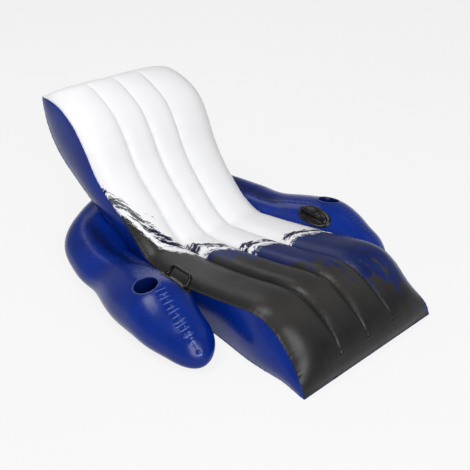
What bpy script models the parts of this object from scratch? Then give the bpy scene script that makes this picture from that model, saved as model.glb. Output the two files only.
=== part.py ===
"""Inflatable pool lounge: a ribbed seat mattress held in a horseshoe arm ring.

The seat is one air chamber.  A top and a bottom sheet are joined by two side gussets and pulled
together by three inner webs, which give the four long channels.  The ring is a second chamber.  It
starts at a round nose beside each knee, carries a cup well and a grab handle on each arm, and passes
behind the backrest, which leans on it.  Each chamber has a push-in valve.

X runs across the seat, with left at -X, Y from the foot to the headrest, and Z up.  Lengths are in
metres.  The origin is on the floor, under the middle of the box around the whole lounge.
"""
import math

import bpy
import bmesh
import numpy as np
from mathutils import Matrix, Vector

# Seat
SEAT_LENGTH = 1.632
SEAT_HEIGHT = 0.662
SEAT_WIDTH = 0.698
CHANNEL_CROWN = 0.026
BASE_CROWN = 0.0145
FOOT_PILLOW = 0.022
GUSSET_BULGE = 0.017
LOW_FLARE = 0.016
CHANNELS = 4

# Ring
ARM_TUBE_WIDTH = 0.276
ARM_TUBE_HEIGHT = 0.220
FLOOR_FLAT = 0.004
NOSE_LENGTH = 0.130
NOSE_TURN = 6.0

# Vinyl sheet and the room that neighbouring pieces leave each other
SHEET = 0.0004
GAP = 0.0003
SAME_PLACE = 0.00001

# Cup wells
CUP_HOLE_RADIUS = 0.0475
CUP_DEPTH = 0.088
CUP_FLOOR_RADIUS = 0.037
CUP_WALL = 0.0010
CUP_LIP_WIDTH = 0.0060
CUP_LIP_THICKNESS = 0.0016

# Grab handles
PAD_LENGTH = 0.172
PAD_WIDTH = 0.084
PAD_THICKNESS = 0.0015
PAD_SQUARENESS = 0.8
GRIP_SPAN = 0.108
GRIP_RISE = 0.046
GRIP_WIDTH = 0.015
GRIP_THICKNESS = 0.009
GRIP_CORNER = 0.016
GRIP_FOOT_RADIUS = 0.014
GRIP_FOOT_HEIGHT = 0.006

# Air valves
VALVE_BORE_RADIUS = 0.0080
NECK_WALL = 0.0033
NECK_TRAVEL = 0.012
SLEEVE_WALL = 0.0010
SLEEVE_DEPTH = 0.014
FLANGE_RADIUS = 0.0200
FLANGE_THICKNESS = 0.0010
LIP_OVERHANG = 0.0022
LIP_THICKNESS = 0.0016
BEAD_HEIGHT = 0.0020
BEAD_OVERHANG = 0.0010
CAP_THICKNESS = 0.0018
PLUG_DEPTH = 0.0060
PLUG_DRAFT = 0.0010
FLAP_THICKNESS = 0.0008
HINGE_REACH = 0.0015
TAB_WIDTH = 0.0080

# The seat's side view from the foot seam to the headrest seam: how far along and how high the top
# seam is, the same for the bottom seam, the half width and the gusset's bulge
SEAT_SHARES = (
    (0.000, 0.006, 0.000, 0.003, 1.037, 0.00),
    (0.015, 0.079, 0.021, 0.012, 1.023, 0.40),
    (0.059, 0.174, 0.067, 0.015, 0.971, 1.10),
    (0.114, 0.282, 0.123, 0.015, 0.974, 1.40),
    (0.172, 0.313, 0.178, 0.015, 0.991, 1.10),
    (0.292, 0.255, 0.288, 0.015, 1.000, 0.25),
    (0.411, 0.205, 0.404, 0.015, 0.994, 0.20),
    (0.515, 0.178, 0.502, 0.018, 0.948, 0.20),
    (0.567, 0.180, 0.564, 0.030, 0.914, 0.20),
    (0.623, 0.254, 0.628, 0.088, 0.888, 0.25),
    (0.675, 0.370, 0.698, 0.202, 0.888, 0.40),
    (0.721, 0.470, 0.758, 0.306, 0.914, 0.80),
    (0.761, 0.589, 0.814, 0.404, 0.940, 1.00),
    (0.792, 0.728, 0.869, 0.504, 0.957, 1.00),
    (0.820, 0.832, 0.918, 0.594, 0.966, 1.00),
    (0.849, 0.906, 0.958, 0.692, 0.963, 1.00),
    (0.901, 0.971, 0.986, 0.798, 0.951, 0.80),
    (0.956, 0.998, 0.996, 0.899, 0.948, 0.50),
    (1.000, 0.989, 1.001, 0.982, 0.946, 0.00),
)

# The arm part of the ring from the nose to the backrest: how far along the seat, how far the tube
# stands off the seat's side, its width and height, and how much its inner side is raised, in degrees
ARM_SHARES = (
    (0.287, 0.150, 0.740, 0.680, 15.0),
    (0.343, 0.060, 0.940, 0.890, 13.0),
    (0.386, 0.000, 1.000, 1.000, 11.0),
    (0.474, 0.000, 0.990, 0.885, 10.0),
    (0.572, 0.000, 0.880, 0.730, 8.0),
    (0.660, 0.000, 0.860, 0.660, 5.0),
)

# The rear of the ring from its corner to the middle: how far out as a share of the last arm station,
# how far back from the last arm station to the middle one, and the tube's width and height
REAR_SHARES = (
    (0.905, 0.440, 0.900, 0.690),
    (0.760, 0.680, 0.910, 0.850),
    (0.430, 0.900, 0.920, 1.020),
    (0.000, 1.000, 0.960, 1.120),
)

# Where things sit: shares of the seat's length, of the chamber's seam line, or angles round the tube
CUP_ALONG_SHARE = 0.416
CUP_ANGLE = 92.0
HANDLE_ALONG_SHARE = 0.400
HANDLE_ANGLE = 31.0
SEAM_TOP_ANGLE = 60.0
SEAM_LOW_ANGLE = -60.0
WEB_START_SHARES = (0.050, 0.075)
WEB_END_SHARE = 0.985
FLARE_SHARES = (0.20, 0.40)
FOOT_ROW_SHARES = (0.000, 0.003, 0.014)
STRIP_SHARES = (0.355, 0.560)
STRIP_WIDTH_SHARE = 0.50
SEAT_VALVE_ROW_SHARE = 0.80

# Counts, and the angle from which an edge is shaded sharp
SEAT_ROWS = 36
CHANNEL_STEPS = 4
GUSSET_STEPS = 3
RING_ROWS = 40
NOSE_ROWS = 4
ANGLE_STEP = 20.0
SHARP_ANGLE = 40.0
ROUND_STEPS = 32
GRIP_STEPS = 12
CORNER_STEPS = 5
FINE_STEPS = 40
REAR_PASSES = 5


def clear_scene():
    """Remove every object that the open file holds."""
    for thing in list(bpy.data.objects):
        bpy.data.objects.remove(thing, do_unlink=True)


def make_material(name, colour, roughness, metallic=0.0):
    """One Principled material."""
    material = bpy.data.materials.new(name)
    material.use_nodes = True
    shader = material.node_tree.nodes["Principled BSDF"]
    shader.inputs["Base Color"].default_value = (*colour, 1.0)
    shader.inputs["Roughness"].default_value = roughness
    shader.inputs["Metallic"].default_value = metallic
    return material


def add_object(name, verts, faces, material=None):
    """A mesh object whose doubled points are merged and whose faces point out."""
    mesh = bpy.data.meshes.new(name)
    mesh.from_pydata([tuple(p) for p in verts], [], [tuple(f) for f in faces])
    bm = bmesh.new()
    bm.from_mesh(mesh)
    bmesh.ops.remove_doubles(bm, verts=bm.verts, dist=SAME_PLACE)
    bmesh.ops.recalc_face_normals(bm, faces=bm.faces)
    bm.to_mesh(mesh)
    bm.free()
    thing = bpy.data.objects.new(name, mesh)
    bpy.context.scene.collection.objects.link(thing)
    if material is not None:
        mesh.materials.append(material)
    return thing


def boolean(target, cutter, operation):
    """Replace the target's mesh by its exact union, difference or intersection with the cutter."""
    modifier = target.modifiers.new("cut", "BOOLEAN")
    modifier.operation = operation
    modifier.solver = "EXACT"
    modifier.object = cutter
    bpy.context.view_layer.update()
    graph = bpy.context.evaluated_depsgraph_get()
    mesh = bpy.data.meshes.new_from_object(target.evaluated_get(graph))
    target.modifiers.clear()
    target.data = mesh


def discard(*things):
    """Remove cutters that have done their work."""
    for thing in things:
        bpy.data.objects.remove(thing, do_unlink=True)


def smooth_table(table, places):
    """Read a table of stations at fractional row numbers along Catmull-Rom curves."""
    rows = np.array(table, float)
    rows = np.vstack([2 * rows[0] - rows[1], rows, 2 * rows[-1] - rows[-2]])
    places = np.clip(np.asarray(places, float), 0, len(rows) - 3)
    low = np.minimum(places.astype(int), len(rows) - 4)
    t = (places - low)[:, None]
    a, b, c, d = rows[low], rows[low + 1], rows[low + 2], rows[low + 3]
    return 0.5 * (2 * b + (c - a) * t + (2 * a - 5 * b + 4 * c - d) * t ** 2
                  + (3 * b - a - 3 * c + d) * t ** 3)


def places_along(table, columns, shares):
    """Row numbers of a table at given shares of the arc length through the named columns."""
    fine = np.linspace(0, len(table) - 1, FINE_STEPS * len(table))
    points = smooth_table(table, fine)[:, columns]
    steps = np.linalg.norm(np.diff(points, axis=0), axis=1)
    arc = np.concatenate([[0], np.cumsum(steps)])
    return np.interp(np.asarray(shares) * arc[-1], arc, fine)


def smooth_step(value, low, high):
    """A soft ramp from 0 at low to 1 at high."""
    t = np.clip((value - low) / (high - low), 0, 1)
    return t * t * (3 - 2 * t)


def grid_normals(grid, outside):
    """Unit normals of a grid surface, turned to the side of the given direction field."""
    along = np.gradient(grid, axis=0)
    across = np.gradient(grid, axis=1)
    normal = np.cross(along, across)
    length = np.linalg.norm(normal, axis=2, keepdims=True)
    normal = normal / np.maximum(length, SAME_PLACE ** 2)
    normal *= np.sign(np.sum(normal * outside))
    for row, neighbour in ((0, 1), (-1, -2)):
        if np.ptp(grid[row], axis=0).max() < SAME_PLACE:
            end = grid[row].mean(axis=0) - grid[neighbour].mean(axis=0)
            normal[row] = end / np.linalg.norm(end)
    return normal


def pull_back(grid, row_back, column_back):
    """Shorten a grid a little at its edges, so that sheets meeting there don't overlap."""
    out = grid.copy()
    if row_back:
        for edge, inner in ((0, 1), (-1, -2)):
            step = grid[inner] - grid[edge]
            size = np.linalg.norm(step, axis=1, keepdims=True)
            out[edge] = grid[edge] + step / size * row_back
    if column_back:
        base = out.copy()
        for edge, inner in ((0, 1), (-1, -2)):
            step = base[:, inner] - base[:, edge]
            size = np.maximum(np.linalg.norm(step, axis=1, keepdims=True), SAME_PLACE)
            out[:, edge] = base[:, edge] + step / size * np.minimum(column_back, size / 3)
    return out


def sheet_faces(rows, columns):
    """Triangles of a closed sheet whose outer grid is followed by its inner grid."""
    def outer(i, j):
        return i * columns + j

    def inner(i, j):
        return rows * columns + i * columns + j

    faces = []
    for i in range(rows - 1):
        for j in range(columns - 1):
            for side, flip in ((outer, 1), (inner, -1)):
                one = (side(i, j), side(i + 1, j), side(i + 1, j + 1))
                two = (side(i, j), side(i + 1, j + 1), side(i, j + 1))
                faces += [one[::flip], two[::flip]]
    for i in range(rows - 1):
        for j, flip in ((0, 1), (columns - 1, -1)):
            rim = (outer(i, j), inner(i, j), inner(i + 1, j), outer(i + 1, j))
            faces.append(rim[::flip])
    for j in range(columns - 1):
        for i, flip in ((0, -1), (rows - 1, 1)):
            rim = (outer(i, j), inner(i, j), inner(i, j + 1), outer(i, j + 1))
            faces.append(rim[::flip])
    return faces


def drop_collapsed(verts, faces):
    """Leave out faces that a collapsed grid row has shrunk to a line."""
    keep = []
    for face in faces:
        corners = []
        for index in face:
            point = verts[index]
            if all(np.linalg.norm(point - verts[other]) > SAME_PLACE / 2 for other in corners):
                corners.append(index)
        if len(corners) > 2:
            keep.append(corners)
    return keep


def add_sheet(name, grid, outside, material, thickness=SHEET, centred=False):
    """A thin closed sheet under a grid surface, or centred on it."""
    normal = grid_normals(grid, outside)
    outer = grid + normal * (thickness / 2 if centred else 0)
    inner = outer - normal * thickness
    rows, columns = grid.shape[:2]
    verts = np.vstack([outer.reshape(-1, 3), inner.reshape(-1, 3)])
    faces = drop_collapsed(verts, sheet_faces(rows, columns))
    return add_object(name, verts, faces, material)


def turned(name, profile, frame, material=None, steps=ROUND_STEPS):
    """Turn a closed profile of (radius, height) points round the frame's Z axis."""
    verts = []
    for k in range(steps):
        angle = 2 * math.pi * k / steps
        for radius, height in profile:
            verts.append(frame @ Vector((radius * math.cos(angle), radius * math.sin(angle), height)))
    count = len(profile)
    faces = []
    for k in range(steps):
        for m in range(count):
            n = (m + 1) % count
            quad = (k * count + m, k * count + n, (k + 1) % steps * count + n,
                    (k + 1) % steps * count + m)
            faces.append(quad)
    verts = np.array([tuple(v) for v in verts])
    return add_object(name, verts, drop_collapsed(verts, faces), material)


def prism(name, outline, low, high, frame):
    """A straight prism of an outline in the frame's XY plane, used to cut or to trim."""
    count = len(outline)
    verts = [tuple(frame @ Vector((x, y, low))) for x, y in outline]
    verts += [tuple(frame @ Vector((x, y, high))) for x, y in outline]
    faces = [tuple(range(count)), tuple(range(2 * count - 1, count - 1, -1))]
    faces += [(m, (m + 1) % count, count + (m + 1) % count, count + m) for m in range(count)]
    return add_object(name, verts, faces)


def circle(radius, steps=ROUND_STEPS):
    """Points of a circle."""
    return [(radius * math.cos(2 * math.pi * k / steps), radius * math.sin(2 * math.pi * k / steps))
            for k in range(steps)]


def frame_at(point, normal, along):
    """A placement whose Z is the normal and whose X follows the given direction."""
    z = Vector(normal).normalized()
    x = Vector(along)
    x = (x - z * x.dot(z)).normalized()
    y = z.cross(x)
    placement = Matrix((x, y, z)).transposed().to_4x4()
    placement.translation = Vector(point)
    return placement


class Seat:
    """The seat chamber's seam lines and surfaces."""

    def __init__(self):
        inner = np.linspace(WEB_START_SHARES[0] * 0.7, WEB_END_SHARE, SEAT_ROWS - 4)
        self.shares = np.concatenate([FOOT_ROW_SHARES, inner, [1.0]])
        stations = smooth_table(SEAT_SHARES, places_along(SEAT_SHARES, [0, 1], self.shares))
        self.top = stations[:, 0:2] * (SEAT_LENGTH, SEAT_HEIGHT)
        self.low = stations[:, 2:4] * (SEAT_LENGTH, SEAT_HEIGHT)
        self.half = stations[:, 4] * SEAT_WIDTH / 2
        swell = np.maximum(stations[:, 5], 0)
        self.bulge = swell * GUSSET_BULGE
        self.flare = swell * LOW_FLARE * (1 - smooth_step(self.shares, *FLARE_SHARES))
        start = smooth_step(self.shares, *WEB_START_SHARES)
        end = 1 - smooth_step(self.shares, WEB_END_SHARE - WEB_START_SHARES[0] / 2, 1)
        self.web = start * end
        pillow = np.sin(np.pi * np.clip(self.shares / WEB_START_SHARES[1] / 2, 0, 1))
        self.rise = FOOT_PILLOW * pillow + BASE_CROWN / 2 * start * end

    def normals(self, line, sign):
        """Outward directions in the side view, square to a seam line."""
        step = np.gradient(line, axis=0)
        step /= np.linalg.norm(step, axis=1, keepdims=True)
        return np.stack([-step[:, 1], step[:, 0]], axis=1) * sign

    def side_reach(self, down):
        """Half width of the seat at a share of the way down its side gussets."""
        return self.half + self.flare * down + self.bulge * 4 * down * (1 - down)

    def face(self, line, sign, half, crown, rise):
        """One quilted face: channel crowns between creases, on top of a low overall rise."""
        count = CHANNELS * CHANNEL_STEPS
        across = np.linspace(-1, 1, count + 1)
        place = (across + 1) / 2 * CHANNELS % 1
        place[-1] = 0
        arch = 1 - np.abs(2 * place - 1) ** 2
        dome = 1 - across ** 6
        lift = rise[:, None] * dome + crown[:, None] * arch
        normal = self.normals(line, sign)
        x = half[:, None] * across
        y = line[:, :1] + normal[:, :1] * lift
        z = line[:, 1:] + normal[:, 1:] * lift
        return np.stack([x, y, np.maximum(z, 0)], axis=2)

    def top_face(self):
        return self.face(self.top, 1, self.half, CHANNEL_CROWN * self.web, self.rise)

    def low_face(self):
        flat = np.zeros_like(self.rise)
        end = 1 - smooth_step(self.shares, WEB_END_SHARE - WEB_START_SHARES[0] / 2, 1)
        return self.face(self.low, -1, self.half + self.flare, BASE_CROWN * end, flat)

    def side_face(self, sign):
        """One side gusset from the top seam to the bottom seam."""
        down = np.linspace(0, 1, GUSSET_STEPS + 1)
        x = sign * np.stack([self.side_reach(share) for share in down], axis=1)
        line = self.top[:, None] * (1 - down[:, None]) + self.low[:, None] * down[:, None]
        return np.stack([x, line[..., 0], line[..., 1]], axis=2)[1:-1]

    def width_at(self, along):
        """Half width at the gusset's first fold line, where the arm tubes press on the seat."""
        return np.interp(along, self.top[:, 0], self.side_reach(1 / GUSSET_STEPS))


class Ring:
    """The horseshoe chamber: a centre line with a rolled oval section at each row."""

    def __init__(self, seat):
        left = []
        fine = np.linspace(0, len(ARM_SHARES) - 1, 3 * len(ARM_SHARES) - 2)
        for along, off, wide, high, roll in smooth_table(ARM_SHARES, fine):
            half_wide = ARM_TUBE_WIDTH / 2 * wide
            half_high = ARM_TUBE_HEIGHT / 2 * high
            turn = math.radians(roll)
            reach = math.hypot(half_wide * math.cos(turn), half_high * math.sin(turn))
            y = along * SEAT_LENGTH
            stand_off = SHEET + 3 * GAP + max(off, 0) * ARM_TUBE_WIDTH
            x = -(seat.width_at(y) + stand_off + reach)
            left.append((x, y, half_wide, half_high, turn))
        depth = ARM_TUBE_WIDTH
        for _ in range(REAR_PASSES):
            self.rows = self.lay_out(left, depth)
            depth += 3 * GAP - self.rear_gap(seat, left[-1][1])

    def lay_out(self, left, depth):
        """Rows of the whole ring, whose rear middle lies a depth behind the last arm station."""
        corner_x, corner_y = left[-1][:2]
        rear = []
        for out, back, wide, high in REAR_SHARES:
            half_wide = ARM_TUBE_WIDTH / 2 * wide
            half_high = ARM_TUBE_HEIGHT / 2 * high
            rear.append((out * corner_x, corner_y + back * depth, half_wide, half_high, 0))
        half = np.array(left + rear)
        table = np.vstack([half, half[-2::-1] * (-1, 1, 1, 1, 1)])
        even = np.linspace(0, 1, RING_ROWS)
        return self.with_noses(smooth_table(table, places_along(table, [0, 1], even)))

    def rear_gap(self, seat, corner_y):
        """Least room along Y between the rear of the ring and the crests of the backrest's back."""
        crest = seat.low_face()[:, CHANNEL_STEPS // 2, 1:]
        reach = seat.half + seat.bulge
        rising = crest[:, 1] > 0
        points = self.grid()[self.rows[:, 1] > corner_y]
        points = np.vstack([points[:-1], (points[:-1] + points[1:]) / 2])
        back = np.interp(points[..., 2], crest[rising, 1], crest[rising, 0])
        near = np.abs(points[..., 0]) < np.interp(points[..., 2], crest[rising, 1], reach[rising])
        return (points[..., 1] - back)[near].min()

    def with_noses(self, stations):
        """Add rounded ends as quarter ellipses that shrink to a point."""
        spread = np.hypot(stations[:, 2] * np.sin(stations[:, 4]), stations[:, 3] * np.cos(stations[:, 4]))
        height = spread - FLOOR_FLAT
        full = np.column_stack([stations[:, :2], height, stations[:, 2:]])
        out = []
        for step in range(NOSE_ROWS):
            turn = math.pi / 2 * step / NOSE_ROWS
            row = full[0].copy()
            reach = NOSE_LENGTH * math.cos(turn)
            splay = math.radians(NOSE_TURN) * math.cos(turn)
            row[0] -= reach * math.sin(splay)
            row[1] -= reach * math.cos(splay)
            row[2] *= 1 - math.cos(turn) ** 2 / 2
            row[3:5] *= math.sin(turn)
            out.append(row)
        nose = np.array(out)
        other = nose[::-1] * (-1, 1, 1, 1, 1, 1)
        return np.vstack([nose, full, other])

    def grid(self, grow=0.0, low=SEAM_LOW_ANGLE, high=SEAM_LOW_ANGLE + 360.0):
        """Surface points between two angles round the tube, measured up from its inner side."""
        centre = self.rows[:, :3]
        along = np.gradient(centre[:, :2], axis=0)
        along /= np.linalg.norm(along, axis=1, keepdims=True)
        side = np.stack([along[:, 1], -along[:, 0], along[:, 0] * 0], axis=1)
        up = np.array([0, 0, 1.0])
        turn = self.rows[:, 5:6]
        across = np.cos(turn) * side + np.sin(turn) * up
        above = np.cos(turn) * up - np.sin(turn) * side
        count = round((high - low) / ANGLE_STEP)
        angle = np.radians(np.linspace(low, high, count + 1))
        wide = self.rows[:, 3, None, None] * np.cos(angle)[None, :, None] * across[:, None]
        tall = self.rows[:, 4, None, None] * np.sin(angle)[None, :, None] * above[:, None]
        points = centre[:, None] + wide + tall
        points[..., 2] = np.maximum(points[..., 2], 0)
        if grow:
            points = points + grow * self.outside(points)
        return points

    def outside(self, points):
        """Outward directions of a grid on this tube."""
        return grid_normals(points, points - self.rows[:, None, :3])

    def volume(self, name, grow):
        """The whole tube as one closed body, grown outwards, to trim what sits on its sheets."""
        points = self.grid(grow)
        rows, columns = points.shape[:2]
        verts = points.reshape(-1, 3)
        faces = []
        for i in range(rows - 1):
            for j in range(columns - 1):
                a, b = i * columns + j, (i + 1) * columns + j
                faces += [(a, b, b + 1), (a, b + 1, a + 1)]
        return add_object(name, verts, drop_collapsed(verts, faces))

    def place(self, along, angle, side):
        """A frame on one arm's surface: Z out of it, X towards the headrest."""
        half = len(self.rows) // 2
        row = np.interp(along * SEAT_LENGTH, self.rows[NOSE_ROWS:half, 1], np.arange(NOSE_ROWS, half))
        points = self.grid()
        column = (angle - SEAM_LOW_ANGLE) / ANGLE_STEP
        away = self.outside(points)

        def read(field):
            i, j = int(row), int(column)
            s, t = row - i, column - j
            low = field[i, j] * (1 - t) + field[i, j + 1] * t
            high = field[i + 1, j] * (1 - t) + field[i + 1, j + 1] * t
            return low * (1 - s) + high * s

        flip = np.array([-side, 1, 1])
        return frame_at(read(points) * flip, read(away) * flip, (0, 1, 0))


def seat_sheets(seat, looks):
    """The top and bottom sheets, the gussets and the inner webs."""
    end_back, edge_back = 3 * SHEET, 2 * SHEET
    top, low = seat.top_face(), seat.low_face()
    away = np.zeros_like(top)
    away[..., 1:] = seat.normals(seat.top, 1)[:, None]
    add_sheet("seat_top_sheet", pull_back(top, end_back, edge_back), away, looks["top"])
    away[..., 1:] = seat.normals(seat.low, -1)[:, None]
    add_sheet("seat_bottom_sheet", pull_back(low, end_back, edge_back), away, looks["blue"])
    for name, sign in (("left", -1), ("right", 1)):
        side = pull_back(seat.side_face(sign), 0, edge_back)
        away = np.zeros_like(side)
        away[..., 0] = sign
        add_sheet("seat_side_" + name, side, away, looks["blue"])
    keep = (seat.shares > WEB_START_SHARES[1]) & (seat.shares < WEB_END_SHARE)
    for name, channel in (("left", 1), ("centre", 2), ("right", 3)):
        column = channel * CHANNEL_STEPS
        high, deep = top[keep, column], low[keep, column]
        step = high - deep
        step /= np.linalg.norm(step, axis=1, keepdims=True)
        clear = SHEET + 2 * GAP
        high, deep = high - step * clear, deep + step * clear
        middle = (high + deep) / 2
        web = np.stack([high, middle, deep], axis=1)
        away = np.zeros_like(web)
        away[..., 0] = 1
        add_sheet("seat_baffle_" + name, web, away, looks["web"], centred=True)


def weld_strips(seat, looks):
    """Narrow strips between the ring and the seat's sides, where the chambers are welded together."""
    for name, sign in (("left", -1), ("right", 1)):
        side = seat.side_face(sign)
        keep = (seat.shares[1:-1] > STRIP_SHARES[0]) & (seat.shares[1:-1] < STRIP_SHARES[1])
        side = side[keep]
        fold = side[:, 1]
        over = (side[:, 0] - fold) * STRIP_WIDTH_SHARE
        under = (side[:, 2] - fold) * STRIP_WIDTH_SHARE
        strip = np.stack([fold + over, fold, fold + under], axis=1)
        strip[..., 0] += sign * (SHEET + GAP)
        away = np.zeros_like(strip)
        away[..., 0] = sign
        add_sheet("weld_strip_" + name, strip, away, looks["blue"])


def ring_sheets(ring, looks):
    """The outer sheet over the top and outside of the tube, and the inner sheet towards the seat."""
    spans = (("ring_inner_sheet", SEAM_LOW_ANGLE, SEAM_TOP_ANGLE),
             ("ring_outer_sheet", SEAM_TOP_ANGLE, SEAM_LOW_ANGLE + 360.0))
    for name, low, high in spans:
        points = pull_back(ring.grid(0, low, high), 0, SHEET + GAP)
        away = points - ring.rows[:, None, :3]
        add_sheet(name, points, away, looks["blue"])


def cup_wells(ring, looks):
    """A formed cup in each arm, whose lip lies on the arm's sheet round the hole."""
    sheet = bpy.data.objects["ring_outer_sheet"]
    wall_radius = CUP_HOLE_RADIUS - GAP
    bore_radius = wall_radius - CUP_WALL
    reach = CUP_HOLE_RADIUS + CUP_LIP_WIDTH
    tall = CUP_HOLE_RADIUS / 2
    lip_high = ring.volume("lip_high", GAP + CUP_LIP_THICKNESS)
    lip_low = ring.volume("lip_low", GAP)
    for name, side in (("left", -1), ("right", 1)):
        place = ring.place(CUP_ALONG_SHARE, CUP_ANGLE, side)
        hole = prism("hole", circle(CUP_HOLE_RADIUS), -tall, tall, place)
        boolean(sheet, hole, "DIFFERENCE")
        cup = turned("cup_well_" + name, (
            (0, -CUP_DEPTH), (CUP_FLOOR_RADIUS, -CUP_DEPTH), (wall_radius, -tall), (reach, -tall),
            (reach, tall), (bore_radius, tall), (bore_radius, -tall),
            (CUP_FLOOR_RADIUS - CUP_WALL, CUP_WALL - CUP_DEPTH), (0, CUP_WALL - CUP_DEPTH)),
            place, looks["cup"])
        boolean(cup, lip_high, "INTERSECT")
        below = turned("below", (
            (wall_radius, -CUP_DEPTH), (reach + CUP_LIP_WIDTH, -CUP_DEPTH), (reach + CUP_LIP_WIDTH, tall),
            (wall_radius, tall)), place)
        boolean(below, lip_low, "INTERSECT")
        boolean(cup, below, "DIFFERENCE")
        discard(hole, below)
    discard(lip_high, lip_low)


def arch_path():
    """Centre line of a grip: up one leg, across with round corners, down the other leg."""
    half, rise = GRIP_SPAN / 2, GRIP_RISE - GRIP_THICKNESS / 2
    corner = []
    for k in range(CORNER_STEPS + 1):
        turn = math.pi / 2 * k / CORNER_STEPS
        corner.append((half - GRIP_CORNER * (1 - math.cos(turn)), rise - GRIP_CORNER * (1 - math.sin(turn))))
    leg = [(half, -GRIP_RISE / 2)] + corner
    return [(-x, z) for x, z in leg] + leg[::-1]


def grip_section():
    """Oval section of the grip: across the bar and through its thickness."""
    across, deep = GRIP_WIDTH / 2, GRIP_THICKNESS / 2
    return [(across * x, deep * y) for x, y in circle(1, GRIP_STEPS)]


def handles(ring, looks):
    """An oval pad on each arm's inner slope, with an arched grip standing on it."""
    pad_high = ring.volume("pad_high", GAP + PAD_THICKNESS)
    pad_low = ring.volume("pad_low", GAP)
    grip_low = ring.volume("grip_low", 2 * GAP + PAD_THICKNESS)
    for name, side in (("left", -1), ("right", 1)):
        place = ring.place(HANDLE_ALONG_SHARE, HANDLE_ANGLE, side)
        outline = []
        for k in range(ROUND_STEPS):
            turn = 2 * math.pi * k / ROUND_STEPS
            x, y = math.cos(turn), math.sin(turn)
            outline.append((PAD_LENGTH / 2 * math.copysign(abs(x) ** PAD_SQUARENESS, x),
                            PAD_WIDTH / 2 * math.copysign(abs(y) ** PAD_SQUARENESS, y)))
        pad = prism("handle_pad_" + name, outline, -PAD_WIDTH / 2, PAD_WIDTH / 2, place)
        pad.data.materials.append(looks["black"])
        boolean(pad, pad_low, "DIFFERENCE")
        boolean(pad, pad_high, "INTERSECT")
        path, section = arch_path(), grip_section()
        verts, faces = [], []
        for k, (x, z) in enumerate(path):
            before, after = path[max(k - 1, 0)], path[min(k + 1, len(path) - 1)]
            run = Vector((after[0] - before[0], after[1] - before[1])).normalized()
            for across, deep in section:
                verts.append(tuple(place @ Vector((x - run.y * deep, across, z + run.x * deep))))
        count = len(section)
        for k in range(len(path) - 1):
            for m in range(count):
                n = (m + 1) % count
                faces.append((k * count + m, k * count + n, (k + 1) * count + n, (k + 1) * count + m))
        faces += [tuple(range(count)), tuple(range(len(verts) - 1, len(verts) - 1 - count, -1))]
        grip = add_object("handle_grip_" + name, verts, faces, looks["black"])
        for end in (-1, 1):
            foot_place = place @ Matrix.Translation((end * GRIP_SPAN / 2, 0, 0))
            foot = prism("foot", circle(GRIP_FOOT_RADIUS), -GRIP_RISE / 2, GRIP_FOOT_HEIGHT, foot_place)
            boolean(grip, foot, "UNION")
            discard(foot)
        boolean(grip, grip_low, "DIFFERENCE")
    discard(pad_high, pad_low, grip_low)


def put_origin(thing, place, offset, parent=None):
    """Set a moving piece's origin on its joint: Z out of the chamber, Y along its hinge."""
    axis = place @ Matrix.Translation(offset)
    thing.data.transform(axis.inverted())
    thing.matrix_world = axis
    if parent is not None:
        thing.parent = parent
        thing.matrix_parent_inverse = parent.matrix_world.inverted()


def facet_frame(corners, along):
    """A frame on the middle of a four-cornered facet, lifted to its highest ridge."""
    middle = np.mean(corners, axis=0)
    normal = np.cross(corners[2] - corners[0], corners[3] - corners[1])
    normal /= np.linalg.norm(normal)
    lift = max(np.dot(corner - middle, normal) for corner in corners)
    return frame_at(middle + normal * max(lift, 0), normal, along)


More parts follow.
